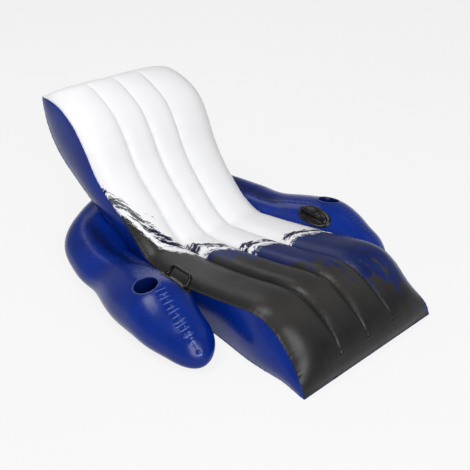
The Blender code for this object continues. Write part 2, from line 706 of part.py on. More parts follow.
def valve(prefix, sheet_name, place, looks):
    """A push-in valve: welded flange with its sleeve, sliding neck, hinged cap and check flap."""
    neck_radius = VALVE_BORE_RADIUS + NECK_WALL
    sleeve_radius = neck_radius + GAP
    hole_radius = sleeve_radius + SLEEVE_WALL + GAP
    flange_top = GAP + FLANGE_THICKNESS
    lip_low = flange_top + GAP
    lip_top = lip_low + LIP_THICKNESS
    bead_top = -SLEEVE_DEPTH - NECK_TRAVEL - GAP
    neck_low = bead_top - BEAD_HEIGHT
    lip_radius = neck_radius + LIP_OVERHANG
    hole = prism("hole", circle(hole_radius), -SLEEVE_DEPTH / 2, SLEEVE_DEPTH / 2, place)
    boolean(bpy.data.objects[sheet_name], hole, "DIFFERENCE")
    discard(hole)
    turned(prefix + "_flange", (
        (sleeve_radius, -SLEEVE_DEPTH), (sleeve_radius + SLEEVE_WALL, -SLEEVE_DEPTH),
        (sleeve_radius + SLEEVE_WALL, GAP), (FLANGE_RADIUS, GAP), (FLANGE_RADIUS, flange_top),
        (sleeve_radius, flange_top)), place, looks["valve"])
    neck = turned(prefix + "_neck", (
        (VALVE_BORE_RADIUS, neck_low), (neck_radius + BEAD_OVERHANG, neck_low),
        (neck_radius + BEAD_OVERHANG, bead_top), (neck_radius, bead_top), (neck_radius, lip_low),
        (lip_radius, lip_low), (lip_radius, lip_top), (VALVE_BORE_RADIUS, lip_top)),
        place, looks["valve"])
    hinge = lip_radius + HINGE_REACH
    ear = [(neck_radius + GAP, -TAB_WIDTH / 2), (hinge - GAP, -TAB_WIDTH / 2),
           (hinge - GAP, TAB_WIDTH / 2), (neck_radius + GAP, TAB_WIDTH / 2)]
    lug = prism("lug", ear, lip_low + GAP, lip_top - GAP, place)
    boolean(neck, lug, "UNION")
    cap_low = lip_top + GAP
    cap_top = cap_low + CAP_THICKNESS
    plug_radius = VALVE_BORE_RADIUS - GAP
    cap = turned(prefix + "_cap", (
        (0, lip_top - PLUG_DEPTH), (plug_radius - PLUG_DRAFT, lip_top - PLUG_DEPTH),
        (plug_radius, cap_low), (lip_radius - GAP, cap_low), (lip_radius - GAP, cap_top), (0, cap_top)),
        place, looks["valve"])
    strap = [(neck_radius, -TAB_WIDTH / 2), (hinge, -TAB_WIDTH / 2), (hinge, TAB_WIDTH / 2),
             (neck_radius, TAB_WIDTH / 2)]
    tab = prism("tab", strap, cap_low + GAP / 2, cap_top - GAP / 2, place)
    boolean(cap, tab, "UNION")
    pull = [(-neck_radius, -TAB_WIDTH / 2), (-hinge - HINGE_REACH, -TAB_WIDTH / 2),
            (-hinge - HINGE_REACH, TAB_WIDTH / 2), (-neck_radius, TAB_WIDTH / 2)]
    finger = prism("finger", pull, cap_low + GAP / 2, cap_top - GAP / 2, place)
    boolean(cap, finger, "UNION")
    discard(lug, tab, finger)

    flap_top = neck_low - GAP
    flap_radius = VALVE_BORE_RADIUS + NECK_WALL / 2
    flap = turned(prefix + "_flap", (
        (0, flap_top - FLAP_THICKNESS), (flap_radius, flap_top - FLAP_THICKNESS),
        (flap_radius, flap_top), (0, flap_top)), place, looks["valve"])
    edge = FLAP_THICKNESS / 8
    hold = [(VALVE_BORE_RADIUS, -TAB_WIDTH / 2), (neck_radius, -TAB_WIDTH / 2),
            (neck_radius, TAB_WIDTH / 2), (VALVE_BORE_RADIUS, TAB_WIDTH / 2)]
    holder = prism("holder", hold, flap_top - FLAP_THICKNESS + edge, flap_top - edge, place)
    boolean(flap, holder, "UNION")
    discard(holder)

    put_origin(neck, place, (0, 0, 0))
    put_origin(cap, place, (hinge, 0, lip_top + GAP / 2), neck)
    put_origin(flap, place, (neck_radius, 0, neck_low - GAP / 2), neck)


def seat_valve(seat, looks):
    """The seat chamber's valve, on the right gusset beside the backrest."""
    side = seat.side_face(1)
    row = int(np.searchsorted(seat.shares[1:-1], SEAT_VALVE_ROW_SHARE))
    column = GUSSET_STEPS // 2
    corners = np.array([side[row, column], side[row + 1, column],
                        side[row + 1, column + 1], side[row, column + 1]])
    if np.cross(corners[2] - corners[0], corners[3] - corners[1])[0] < 0:
        corners = corners[::-1]
    valve("seat_valve", "seat_side_right", facet_frame(corners, (0, 0, 1)), looks)


def ring_valve(ring, looks):
    """The ring's valve, at the rear of the ring."""
    points = ring.grid()
    row = len(points) // 2
    column = round((180.0 - SEAM_LOW_ANGLE) / ANGLE_STEP) - 1
    corners = np.array([points[row, column], points[row + 1, column],
                        points[row + 1, column + 1], points[row, column + 1]])
    if np.cross(corners[2] - corners[0], corners[3] - corners[1])[1] < 0:
        corners = corners[::-1]
    valve("ring_valve", "ring_outer_sheet", facet_frame(corners, (0, 0, 1)), looks)


def centre_on_floor():
    """Move everything so that the origin is on the floor under the middle of the lounge's box."""
    bpy.context.view_layer.update()
    corners = np.array([thing.matrix_world @ v.co for thing in bpy.data.objects for v in thing.data.vertices])
    low, high = corners.min(axis=0), corners.max(axis=0)
    shift = Vector((-(low[0] + high[0]) / 2, -(low[1] + high[1]) / 2, -low[2]))
    for thing in bpy.data.objects:
        if thing.parent is None:
            thing.location += shift


def main():
    clear_scene()
    looks = {
        "top": make_material("printed_vinyl", (0.80, 0.80, 0.82), 0.30),
        "blue": make_material("blue_vinyl", (0.005, 0.028, 0.30), 0.28),
        "web": make_material("web_vinyl", (0.50, 0.52, 0.56), 0.45),
        "cup": make_material("cup_vinyl", (0.004, 0.018, 0.20), 0.32),
        "black": make_material("black_vinyl", (0.012, 0.012, 0.014), 0.35),
        "valve": make_material("clear_vinyl", (0.62, 0.66, 0.70), 0.30),
    }
    seat = Seat()
    ring = Ring(seat)
    seat_sheets(seat, looks)
    ring_sheets(ring, looks)
    weld_strips(seat, looks)
    cup_wells(ring, looks)
    handles(ring, looks)
    seat_valve(seat, looks)
    ring_valve(ring, looks)
    centre_on_floor()
    for thing in bpy.data.objects:
        thing.data.shade_smooth()
        thing.data.set_sharp_from_angle(angle=math.radians(SHARP_ANGLE))


main()
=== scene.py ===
"""Inflatable pool lounge: the looks of its sheets, seams, cups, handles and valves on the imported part."""
import math

import bmesh
import bpy
import numpy as np
from mathutils import Matrix, Vector


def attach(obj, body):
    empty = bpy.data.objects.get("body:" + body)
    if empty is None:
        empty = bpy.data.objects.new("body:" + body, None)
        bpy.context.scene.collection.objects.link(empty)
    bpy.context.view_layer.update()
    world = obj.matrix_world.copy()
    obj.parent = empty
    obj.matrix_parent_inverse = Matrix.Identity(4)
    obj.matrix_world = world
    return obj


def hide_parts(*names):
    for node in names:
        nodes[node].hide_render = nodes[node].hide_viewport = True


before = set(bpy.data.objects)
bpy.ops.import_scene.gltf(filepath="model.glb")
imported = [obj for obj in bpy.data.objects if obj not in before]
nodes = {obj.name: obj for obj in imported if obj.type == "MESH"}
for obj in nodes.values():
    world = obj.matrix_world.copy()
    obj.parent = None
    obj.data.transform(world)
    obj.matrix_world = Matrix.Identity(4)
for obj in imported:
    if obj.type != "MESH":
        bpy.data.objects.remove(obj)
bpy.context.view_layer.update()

# Seat top: one printed vinyl sheet from the foot seam over the knee, the seat and the backrest to the
# headrest seam. Three long welds pin it to inner webs, so the air lifts it into four channels, and
# the sheet puckers where a weld or a seam has to bend.
SEAT_LENGTH, SEAT_HEIGHT, SEAT_WIDTH = 1.632, 0.662, 0.698
FOOT_Y = -0.8170
WELD_PLACES, CHANNEL_FULLNESS = (-1.0, -0.45, -0.03, 0.39, 1.0), 3.2
TOP_LIFT, BASE_CROWN, FOOT_PILLOW = 0.0333, 0.0145, 0.0245
CHANNEL_CROWN = ((0.15, 0.45, 0.60, 0.75, 0.90, 0.98), (0.0230, 0.0220, 0.0170, 0.0125, 0.0100, 0.0080))
GUSSET_BULGE, LOW_FLARE = 0.017, 0.016
VINYL = 0.0005
# top seam along and up, bottom seam along and up, half width, gusset swell
SEAT_SHARES = (
    (0.000, 0.006, 0.000, 0.003, 1.037, 0.00), (0.015, 0.079, 0.021, 0.012, 1.023, 0.40),
    (0.059, 0.174, 0.067, 0.015, 0.971, 1.10), (0.114, 0.282, 0.123, 0.015, 0.974, 1.40),
    (0.172, 0.313, 0.178, 0.015, 0.991, 1.10), (0.292, 0.255, 0.288, 0.015, 1.000, 0.25),
    (0.411, 0.205, 0.404, 0.015, 0.994, 0.20), (0.515, 0.178, 0.502, 0.018, 0.948, 0.20),
    (0.567, 0.180, 0.564, 0.030, 0.914, 0.20), (0.623, 0.254, 0.628, 0.088, 0.888, 0.25),
    (0.675, 0.370, 0.698, 0.202, 0.888, 0.40), (0.721, 0.470, 0.758, 0.306, 0.914, 0.80),
    (0.761, 0.589, 0.814, 0.404, 0.940, 1.00), (0.792, 0.728, 0.869, 0.504, 0.957, 1.00),
    (0.820, 0.830, 0.918, 0.594, 0.966, 1.00), (0.851, 0.899, 0.958, 0.692, 0.963, 1.00),
    (0.903, 0.959, 0.986, 0.798, 0.951, 0.80), (0.956, 0.984, 0.996, 0.899, 0.948, 0.50),
    (0.998, 0.979, 0.999, 0.970, 0.946, 0.00))
WEB_SHARES, CROWN_START, CROWN_END, FOOT_SHARES = (0.030, 0.085), (0.034, 0.190), (0.93, 0.99), (0.085, 0.210)
HEAD_ROUND, FLARE_SHARES = 0.045, (0.20, 0.40)
FINE_SHARE, FINE_ROWS, SEAT_ROWS, CHANNEL_CELLS = 0.062, 84, 500, 20
WRAP, WRAP_CELLS = ((0.25, 0.50), (0.003, 0.009)), 3
BULB_SHARE = 0.054
# how far up the seat the solid print reaches across it, in metres from the foot seam
PRINT_EDGE = ((-1.00, -0.80, -0.60, -0.35, -0.10, 0.20, 0.60, 1.00),
              (1.27, 1.01, 0.89, 0.84, 0.75, 0.67, 0.63, 0.53))
# how wide the torn border above it is
BORDER = ((-1.00, -0.75, -0.50, -0.30, 0.20, 0.60, 1.00),
          (0.13, 0.18, 0.16, 0.085, 0.075, 0.060, 0.080))
# how far below that edge the print is blue before it turns charcoal
BLUE_DEPTH = ((-1.00, -0.50, -0.42, -0.25, -0.06, 0.00, 0.20, 0.37, 0.43, 0.70, 1.00),
              (-0.30, -0.10, 0.09, 0.13, 0.18, 0.28, 0.33, 0.36, 0.41, 0.44, 0.45))
# how much a painted sheen lightens the charcoal along the seat, strongest at the knee
CHARCOAL_SHEEN = ((0.00, 0.12, 0.20, 0.28, 0.34, 0.46, 0.60, 0.75, 1.00),
         (0.05, 0.00, 0.35, 0.95, 0.70, 0.08, 0.16, 0.42, 0.50))


def smooth_step(value, low, high):
    """A soft ramp, 3t^2 - 2t^3, from 0 at low to 1 at high."""
    t = np.clip((value - low) / (high - low), 0, 1)
    return t * t * (3 - 2 * t)


def smooth_table(table, places):
    """Rows of a table at fractional row numbers, along Catmull-Rom curves through its rows."""
    rows = np.array(table, float)
    rows = np.vstack([2 * rows[0] - rows[1], rows, 2 * rows[-1] - rows[-2]])
    places = np.clip(np.asarray(places, float), 0, len(rows) - 3)
    low = np.minimum(places.astype(int), len(rows) - 4)
    t = (places - low)[:, None]
    a, b, c, d = rows[low], rows[low + 1], rows[low + 2], rows[low + 3]
    return 0.5 * (2 * b + (c - a) * t + (2 * a - 5 * b + 4 * c - d) * t ** 2
                  + (3 * b - a - 3 * c + d) * t ** 3)


def places_along(table, shares):
    """Fractional row numbers at shares of the arc length through a table's first two columns."""
    fine = np.linspace(0, len(table) - 1, 40 * len(table))
    steps = np.linalg.norm(np.diff(smooth_table(table, fine)[:, :2], axis=0), axis=1)
    arc = np.concatenate([[0], np.cumsum(steps)])
    return np.interp(np.asarray(shares) * arc[-1], arc, fine)


def ripple(run, pitch, phase):
    """Uneven waves from -1 to 1: a cosine of the run whose phase two slower sines push about."""
    turn = 2 * np.pi * run / pitch
    return np.cos(turn + 1.9 * np.sin(turn / 5.3 + phase) + 1.1 * np.sin(turn / 2.3 + 2.7 * phase))


class SeatLines:
    """Seam lines, half width and swell of the seat chamber at shares of its top seam's length."""

    def __init__(self, shares):
        rows = smooth_table(SEAT_SHARES, places_along(SEAT_SHARES, shares))
        self.shares = shares
        self.top = rows[:, 0:2] * (SEAT_LENGTH, SEAT_HEIGHT) + (FOOT_Y, 0)
        self.low = rows[:, 2:4] * (SEAT_LENGTH, SEAT_HEIGHT) + (FOOT_Y, 0)
        self.half = rows[:, 4] * SEAT_WIDTH / 2
        swell = np.maximum(rows[:, 5], 0)
        self.bulge = swell * GUSSET_BULGE
        self.flare = swell * LOW_FLARE * (1 - smooth_step(shares, *FLARE_SHARES))
        self.end = np.sqrt(1 - np.clip((shares - 1 + HEAD_ROUND) / HEAD_ROUND, 0, 1) ** 2)
        self.web = smooth_step(shares, *WEB_SHARES) * (1 - smooth_step(shares, *CROWN_END))
        full_crown = np.interp(shares, *CHANNEL_CROWN)
        self.crown = full_crown * smooth_step(shares, *CROWN_START) * (1 - smooth_step(shares, *CROWN_END))
        self.rise = (TOP_LIFT - full_crown) * smooth_step(shares, *WEB_SHARES)
        self.rise += full_crown * smooth_step(shares, *CROWN_END)
        crest, fade = FOOT_SHARES
        pillow = np.sin(np.pi / 2 * np.clip(shares / crest, 0, 1) ** 0.9) * (1 - smooth_step(shares, crest, fade))
        self.rise = self.rise * self.end + FOOT_PILLOW * pillow
        self.arc = np.concatenate([[0], np.cumsum(np.linalg.norm(np.diff(self.top, axis=0), axis=1))])
        step = np.gradient(self.top, axis=0)
        heading = np.unwrap(np.arctan2(step[:, 1], step[:, 0]))
        self.bend = np.abs(np.gradient(heading) / np.gradient(self.arc))

    def face(self, line, sign, half, crown, rise, across, arch):
        """Seam line + its outward normal * (rise * (1 - across^6) + crown * arch), kept above the floor."""
        step = np.gradient(line, axis=0)
        step /= np.linalg.norm(step, axis=1, keepdims=True)
        normal = np.stack([-step[:, 1], step[:, 0]], axis=1) * sign
        lift = rise[:, None] * (1 - across ** 6) + crown[:, None] * arch
        points = line[:, None] + normal[:, None] * lift[..., None]
        return np.dstack([half[:, None] * across, points[..., 0], np.maximum(points[..., 1], 0)])


def channel_columns(cells, weld, places, fullness):
    """Places across the seat, packed closer near the welds, and their heights 1 - reach^fullness in the
    channels' arches, with reach from 0 in mid channel to 1 at its welds."""
    place = (1 - np.cos(np.pi * np.arange(cells) / cells)) / 2
    start, wide = np.array(places[:-1])[:, None], np.diff(places)[:, None]
    across = np.append((start + wide * place).ravel(), places[-1])
    reach = np.abs(2 * np.append(np.tile(place, len(wide)), 0) - 1) / (1 - weld)
    return across, 1 - np.minimum(reach, 1) ** fullness


def normals_of(points, outside):
    """Unit normals of a grid from the cross product of its two gradients, turned to the outside."""
    normal = np.cross(np.gradient(points, axis=0), np.gradient(points, axis=1))
    size = np.linalg.norm(normal, axis=2, keepdims=True)
    normal = normal / np.maximum(size, 1e-12)
    normal *= np.sign((normal * outside).sum())
    for row, near in ((0, 1), (-1, -2)):
        if np.ptp(points[row], axis=0).max() < 1e-6:
            end = points[row].mean(axis=0) - points[near].mean(axis=0)
            normal[row] = end / np.linalg.norm(end)
    return normal


def cells_of(index):
    """Corner numbers of the cells of a grid of vertex numbers."""
    return np.stack([index[:-1, :-1], index[1:, :-1], index[1:, 1:], index[:-1, 1:]], axis=-1).reshape(-1, 4)


def new_piece(name, points, faces, uv=None, marks=None):
    """A smooth mesh piece with merged doubles and faces outwards, its UV map and its named vertex values."""
    mesh = bpy.data.meshes.new(name)
    mesh.from_pydata(points, [], faces)
    if uv is not None:
        corner = np.zeros(len(mesh.loops), np.int32)
        mesh.loops.foreach_get("vertex_index", corner)
        mesh.uv_layers.new(name="cut").data.foreach_set("uv", uv[corner].astype(np.float32).ravel())
    for mark, values in (marks or {}).items():
        mesh.attributes.new(mark, "FLOAT", "POINT").data.foreach_set("value", values.astype(np.float32))
    bm = bmesh.new()
    bm.from_mesh(mesh)
    bmesh.ops.remove_doubles(bm, verts=bm.verts, dist=1e-6)
    bmesh.ops.recalc_face_normals(bm, faces=bm.faces)
    bm.to_mesh(mesh)
    bm.free()
    mesh.shade_smooth()
    mesh.set_sharp_from_angle(angle=math.radians(50))
    piece = bpy.data.objects.new(name, mesh)
    bpy.context.scene.collection.objects.link(piece)
    return piece


def sheet(name, points, outside, uv, marks=None, thickness=VINYL):
    """A closed sheet: the grid, the same grid pushed in along its normals, and a rim round both."""
    normal = normals_of(points, outside)
    rows, columns = points.shape[:2]
    outer = np.arange(rows * columns).reshape(rows, columns)
    inner = outer + rows * columns
    edge = np.concatenate([outer[0, :-1], outer[:-1, -1], outer[-1, :0:-1], outer[:0:-1, 0]])
    after = np.roll(edge, -1)
    rim = np.stack([edge, after, after + rows * columns, edge + rows * columns], axis=1)
    faces = np.vstack([cells_of(outer), cells_of(inner)[:, ::-1], rim])
    both = np.vstack([points.reshape(-1, 3), (points - normal * thickness).reshape(-1, 3)])
    twice = {mark: np.tile(values.ravel(), 2) for mark, values in (marks or {}).items()}
    return new_piece(name, both, faces, np.tile(uv.reshape(-1, 2), (2, 1)), twice)


class Tap:
    """One socket of a material's nodes. Arithmetic on it adds Math nodes; node() adds any other node."""

    def __init__(self, tree, socket=None):
        self.tree, self.socket = tree, socket

    def node(self, kind, sockets=None, out=0, stops=None, **settings):
        """A node of a kind, with its settings and ramp stops first and then its values or links."""
        made = self.tree.nodes.new("ShaderNode" + kind)
        for name, value in settings.items():
            setattr(made, name, value)
        if stops:
            ramp = made.color_ramp
            for _ in range(len(stops) - 2):
                ramp.elements.new(0.5)
            for element, (place, tone) in zip(ramp.elements, stops):
                element.position, element.color = place, tone
        for name, value in (sockets or {}).items():
            if isinstance(value, Tap):
                self.tree.links.new(value.socket, made.inputs[name])
            else:
                made.inputs[name].default_value = value
        return Tap(self.tree, made.outputs[out])

    def maths(self, operation, first, second=None, clamp=False):
        sockets = {0: first} if second is None else {0: first, 1: second}
        return self.node("Math", sockets, operation=operation, use_clamp=clamp)

    def __add__(self, other):
        return self.maths("ADD", self, other)

    def __sub__(self, other):
        return self.maths("SUBTRACT", self, other)

    def __rsub__(self, other):
        return self.maths("SUBTRACT", other, self)

    def __mul__(self, other):
        return self.maths("MULTIPLY", self, other)

    def __pow__(self, other):
        return self.maths("POWER", self, other)

    __radd__, __rmul__ = __add__, __mul__

    def ramp(self, low, high, first=0.0, last=1.0):
        """A soft ramp of this value from first at low to last at high."""
        return self.node("MapRange", {0: self, 1: low, 2: high, 3: first, 4: last},
                         interpolation_type="SMOOTHSTEP")

    def blend(self, first, second):
        """The first colour where this value is 0 and the second where it is 1."""
        return self.node("Mix", {0: self, 6: first, 7: second}, out=2, data_type="RGBA")

    def speckle(self, where, scale, detail=3.0, rough=0.5, squeeze=None):
        """Noise from 0 to 1 at places given by a vector, squeezed along its axes if asked."""
        if squeeze:
            where = self.node("VectorMath", {0: where, 1: squeeze}, operation="MULTIPLY")
        return self.node("TexNoise", {"Vector": where, "Scale": scale, "Detail": detail, "Roughness": rough})

    def mark(self, name):
        """A named vertex value of the piece."""
        return self.node("Attribute", out=2, attribute_name=name)

    def relief(self, height, distance, strength=1.0, under=None):
        """A bump of a height field, distance metres deep, on top of another bump."""
        sockets = {"Strength": strength, "Distance": distance, "Height": height}
        if under is not None:
            sockets["Normal"] = under
        return self.node("Bump", sockets)


def new_finish(name, **constants):
    """A Principled material, its constant sockets, and a tap on its node tree with Object coordinates."""
    material = bpy.data.materials.new(name)
    material.use_nodes = True
    tree = material.node_tree
    shader = tree.nodes["Principled BSDF"]
    for socket, value in constants.items():
        shader.inputs[socket.replace("_", " ")].default_value = value
    tap = Tap(tree)
    return material, shader, tap, tap.node("TexCoord", out=3)


def pour(shader, **sockets):
    """Link taps to a shader's sockets."""
    for socket, tap in sockets.items():
        tap.tree.links.new(tap.socket, shader.inputs[socket.replace("_", " ")])


def colour(red, green, blue):
    """A colour with full alpha."""
    return (red, green, blue, 1.0)


def pressed_vinyl(tap, where, folds):
    """Normals of blown-up vinyl: broad unevenness, faint roller grain, and fine creases by the folds."""
    broad = tap.relief(tap.speckle(where, 9.0, 2.0), 0.0022, 0.6)
    grain = tap.relief(tap.speckle(where, 420.0, 2.0), 0.00012, 0.5, broad)
    crumple = tap.speckle(where, 95.0, 3.0, 0.55) * folds
    return tap.relief(crumple, 0.0010, 0.6, grain)


lines = SeatLines(np.concatenate([np.linspace(0, FINE_SHARE, FINE_ROWS, endpoint=False),
                                  np.linspace(FINE_SHARE, 1, SEAT_ROWS - FINE_ROWS)]))
across, arch = channel_columns(CHANNEL_CELLS, 0.030, WELD_PLACES, CHANNEL_FULLNESS)
seat_top = lines.face(lines.top, 1, lines.half, lines.crown, lines.rise, across, arch)
run = np.broadcast_to(lines.arc[:, None], seat_top.shape[:2])
side = lines.half[:, None] * across
weld_gap = np.min([np.abs(side - lines.half[:, None] * place) for place in WELD_PLACES[1:-1]], axis=0)
edge_gap = lines.half[:, None] * (1 - np.abs(across))
pull = 0.30 + np.clip(lines.bend[:, None] / 4.0, 0, 1)
beside = np.exp(-weld_gap / 0.013) * np.clip(weld_gap / 0.006, 0, 1)
puckers = 0.0004 * ripple(run + 0.01 * np.round(across * 2), 0.027, 1.3) * beside * pull * lines.web[:, None]
puckers += 0.0005 * ripple(run, 0.024, 4.1 + across) * np.exp(-edge_gap / 0.012) * pull
gathers = sum(np.exp(-((side - place) / 0.032) ** 2) for place in (-0.215, 0.045, 0.275))
puckers += 0.0022 * ripple(side, 0.021, 0.4) * np.exp(-run / 0.022) * (0.10 + gathers)
bulb_run = np.interp(BULB_SHARE, lines.shares, lines.arc)
puckers -= 0.0034 * np.exp(-((weld_gap ** 2 + (run - bulb_run) ** 2) / 0.0068 ** 2) ** 1.5)
puckers += 0.0012 * np.exp(-((np.sqrt(weld_gap ** 2 + (run - bulb_run) ** 2) - 0.0105) / 0.0035) ** 2)
puckers -= 0.0034 * np.exp(-(weld_gap / 0.0030) ** 2) * smooth_step(run, bulb_run - 0.003, bulb_run + 0.003) * lines.web[:, None]
slack = 0.0004 * (ripple(run + 0.3 * side, 0.31, 0.9) + ripple(side - 0.2 * run, 0.23, 2.2)) * arch
seat_top += normals_of(seat_top, (0, 0, 1.0)) * (puckers + slack * lines.web[:, None])[..., None]
print_edge = np.interp(across, *PRINT_EDGE) + 0.030 * (arch - 0.5)
above = run - print_edge
border = above / np.interp(across, *BORDER)
blue_left = np.interp(across, *BLUE_DEPTH) + above
# painted shade along the weld grooves, from the bulbs up
groove_shade = np.exp(-(weld_gap / 0.0028) ** 2) * smooth_step(run, bulb_run - 0.003, bulb_run + 0.003) * lines.web[:, None]
# painted sheen on the charcoal, stronger on the channels' crests than at the welds
charcoal_sheen = np.interp(run, *CHARCOAL_SHEEN) * (0.7 + 0.3 * arch)
greyed = 0.6 * smooth_step(run, 1.15, 1.21) * (1 - smooth_step(run, 1.30, 1.36))
folds = np.clip(np.exp(-weld_gap / 0.020) * lines.web[:, None] + np.exp(-edge_gap / 0.015)
                + np.exp(-run / 0.030), 0, 1) * np.clip(pull, 0, 1)
deep = np.linalg.norm(lines.top - lines.low, axis=1)[:, None]
wrap_share = np.minimum(np.interp(lines.shares, *WRAP)[:, None] / np.maximum(deep, 1e-6), 0.25)


def side_wall(down, crimp):
    """Seam line to seam line: half width + flare * d + swell * 4d(1 - d), with d the share of the way down."""
    line = lines.top[:, None] * (1 - down[..., None]) + lines.low[:, None] * down[..., None]
    reach = lines.half[:, None] + lines.flare[:, None] * down + lines.bulge[:, None] * 4 * down * (1 - down)
    return np.dstack([reach + crimp, line[..., 0], np.maximum(line[..., 1], 0)])


wrap = wrap_share * np.arange(1, WRAP_CELLS + 1) / WRAP_CELLS
wall = side_wall(wrap, 0.0004 * ripple(run[:, :1], 0.024, 4.1) * pull)
wrapped = np.concatenate([wall[:, ::-1] * (-1, 1, 1), seat_top, wall], axis=1)
wrapped[..., 2] = np.maximum(wrapped[..., 2], 0.0005)


def widened(values, further=0.0):
    """A vertex value carried on over the wrapped edges, growing by a length on the way."""
    more = deep * wrap * further
    return np.concatenate([values[:, :1] - more[:, ::-1], values, values[:, -1:] + more], axis=1)


seat_top_piece = sheet("seat_top", wrapped, np.array((0, -0.4, 1.0)),
                       np.dstack([widened(side, 1.0), widened(run)]),
                       {"above": widened(above), "border": widened(border), "blue_left": widened(blue_left), "folds": widened(folds), "greyed": widened(greyed), "painted_sheen": widened(charcoal_sheen), "groove_shade": widened(groove_shade)})

printed, shader, tap, where = new_finish("printed_vinyl", Specular_IOR_Level=0.28)
cut = tap.node("UVMap", uv_map="cut")
edge, border = tap.mark("above"), tap.mark("border")
flow = tap.node("CombineXYZ", {0: tap.node("SeparateXYZ", {0: cut}),
                                1: edge * 0.5 + tap.node("SeparateXYZ", {0: cut}, out=1) * 0.5})
torn = tap.speckle(flow, 52.0, 9.0, 0.84, squeeze=(0.90, 0.90, 1.0))
body_of_print = (edge + (torn - 0.5) * 0.27).ramp(-0.0015, 0.0015, 1.0, 0.0)
strewn = tap.speckle(flow, 38.0, 8.0, 0.78, squeeze=(0.62, 1.05, 1.0))
band = border.ramp(0.22, 0.55) * border.ramp(0.75, 1.20, 1.0, 0.0)
flecks = (strewn + band * 0.15).ramp(0.604, 0.608) * border.ramp(1.45, 1.55, 1.0, 0.0)
cloud = tap.speckle(cut, 24.0, 6.0, 0.62, squeeze=(1.0, 0.5, 1.0))
blue_field = (tap.mark("blue_left") + (cloud - 0.5) * 0.78).ramp(-0.030, 0.035)
brush = tap.speckle(cut, 26.0, 4.0, 0.6, squeeze=(1.0, 0.35, 1.0))
charcoal = brush.ramp(0.3, 0.7).blend(colour(0.0070, 0.0071, 0.0074), colour(0.0120, 0.0116, 0.0114))
# painted highlight: the charcoal is painted lighter where light catches the knee and the crests
charcoal = tap.mark("painted_sheen").blend(charcoal, colour(0.034, 0.0315, 0.029))
navy = brush.ramp(0.3, 0.7).blend(colour(0.0016, 0.0080, 0.066), colour(0.0028, 0.0140, 0.106))
ink = blue_field.blend(charcoal, navy)
# painted shade: the white is painted darker near the welds, the side edges and the foot seam, where its creases lie
# in shade
white = tap.mark("folds").blend(colour(0.845, 0.845, 0.85), colour(0.775, 0.775, 0.785))
tone = flecks.blend(white, tap.mark("greyed").blend(colour(0.0026, 0.0050, 0.030), colour(0.15, 0.16, 0.17)))
tone = body_of_print.blend(tone, ink)
# painted shade: the weld lines are painted dark, less on the white than in the print
tone = (tap.mark("groove_shade") * (body_of_print * 0.75 + 0.12)).blend(tone, colour(0.0030, 0.0030, 0.0032))
smudge = tap.speckle(where, 5.0, 4.0, 0.6)
pour(shader, Base_Color=tone,
     Roughness=smudge.ramp(0.3, 0.7, 0.34, 0.43) + tap.speckle(where, 160.0) * 0.04 - body_of_print * 0.04,
     Normal=pressed_vinyl(tap, where, tap.mark("folds")))
seat_top_piece.data.materials.append(printed)
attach(seat_top_piece, "body")
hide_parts("seat_top_sheet")

# Seat base and gussets: plain royal blue vinyl. The base runs flat on the floor and turns up into the
# back of the backrest; a gusset closes each side, and air swells it out between its two seams.
BASE_CELLS, GUSSET_CELLS = 14, 24


def blue_finish(name, deep, bright, shine):
    """Royal blue vinyl: two close blues in clouds, paler where folds stress it, a painted highlight on pucker lips
    and cup rims, painted shade in the rear bend's fold and the pucker pits, smudged gloss.
    """
    material, shader, tap, where = new_finish(name, Specular_IOR_Level=shine)
    folds = tap.mark("folds")
    clouds = tap.speckle(where, 3.2, 5.0, 0.6)
    tone = clouds.ramp(0.3, 0.7).blend(deep, bright)
    stress = (tap.speckle(where, 260.0, 2.0) * folds).ramp(0.50, 0.62)
    tone = (stress * 0.30).blend(tone, colour(0.10, 0.15, 0.38))
    # painted highlight on the puckers' lips and on the cups' rims
    tone = tap.mark("lip_highlight").blend(tone, colour(0.085, 0.160, 0.520))
    # painted shade in the rear bend's fold and in the puckers' pits
    tone = tap.mark("depth").blend(tone, colour(0.0004, 0.0060, 0.060))
    smudge = tap.speckle(where, 11.0, 5.0, 0.62)
    pour(shader, Base_Color=tone,
         Roughness=smudge.ramp(0.3, 0.72, 0.18, 0.29) + tap.speckle(where, 190.0) * 0.04,
         Normal=pressed_vinyl(tap, where, folds))
    return material


royal = blue_finish("royal_blue_vinyl", colour(0.0003, 0.0130, 0.148), colour(0.0008, 0.0235, 0.235), 0.27)
across_low, arch_low = channel_columns(BASE_CELLS, 0.030, (-1.0, -0.5, 0.0, 0.5, 1.0), 2.15)
flat = np.zeros(SEAT_ROWS)
base = lines.face(lines.low, -1, lines.half + lines.flare, BASE_CROWN * lines.end, flat, across_low, arch_low)
low_arc = np.concatenate([[0], np.cumsum(np.linalg.norm(np.diff(lines.low, axis=0), axis=1))])
low_run = np.broadcast_to(low_arc[:, None], base.shape[:2])
low_side = (lines.half + lines.flare)[:, None] * across_low
low_weld = np.min([np.abs(low_side - (lines.half + lines.flare)[:, None] * place)
                   for place in (-0.5, 0, 0.5)], axis=0)
low_edge = (lines.half + lines.flare)[:, None] * (1 - np.abs(across_low))
low_puckers = 0.0010 * ripple(low_run, 0.027, 2.0) * np.exp(-low_weld / 0.013) * np.clip(low_weld / 0.006, 0, 1)
low_puckers += 0.0011 * ripple(low_run, 0.024, 3.0 + across_low) * np.exp(-low_edge / 0.014)
raised = smooth_step(base[..., 2], 0.02, 0.06)
base += normals_of(base, (0, 0.3, -1.0)) * (low_puckers * pull * raised)[..., None]
base[..., 2] = np.maximum(base[..., 2], 0)
low_folds = np.clip(np.exp(-low_weld / 0.020) + np.exp(-low_edge / 0.015), 0, 1) * np.clip(pull, 0, 1)
base_piece = sheet("seat_base", base, np.array((0, 0.4, -1.0)), np.dstack([low_side, low_run]),
                   {"folds": low_folds})
base_piece.data.materials.append(royal)
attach(base_piece, "body")
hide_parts("seat_bottom_sheet")

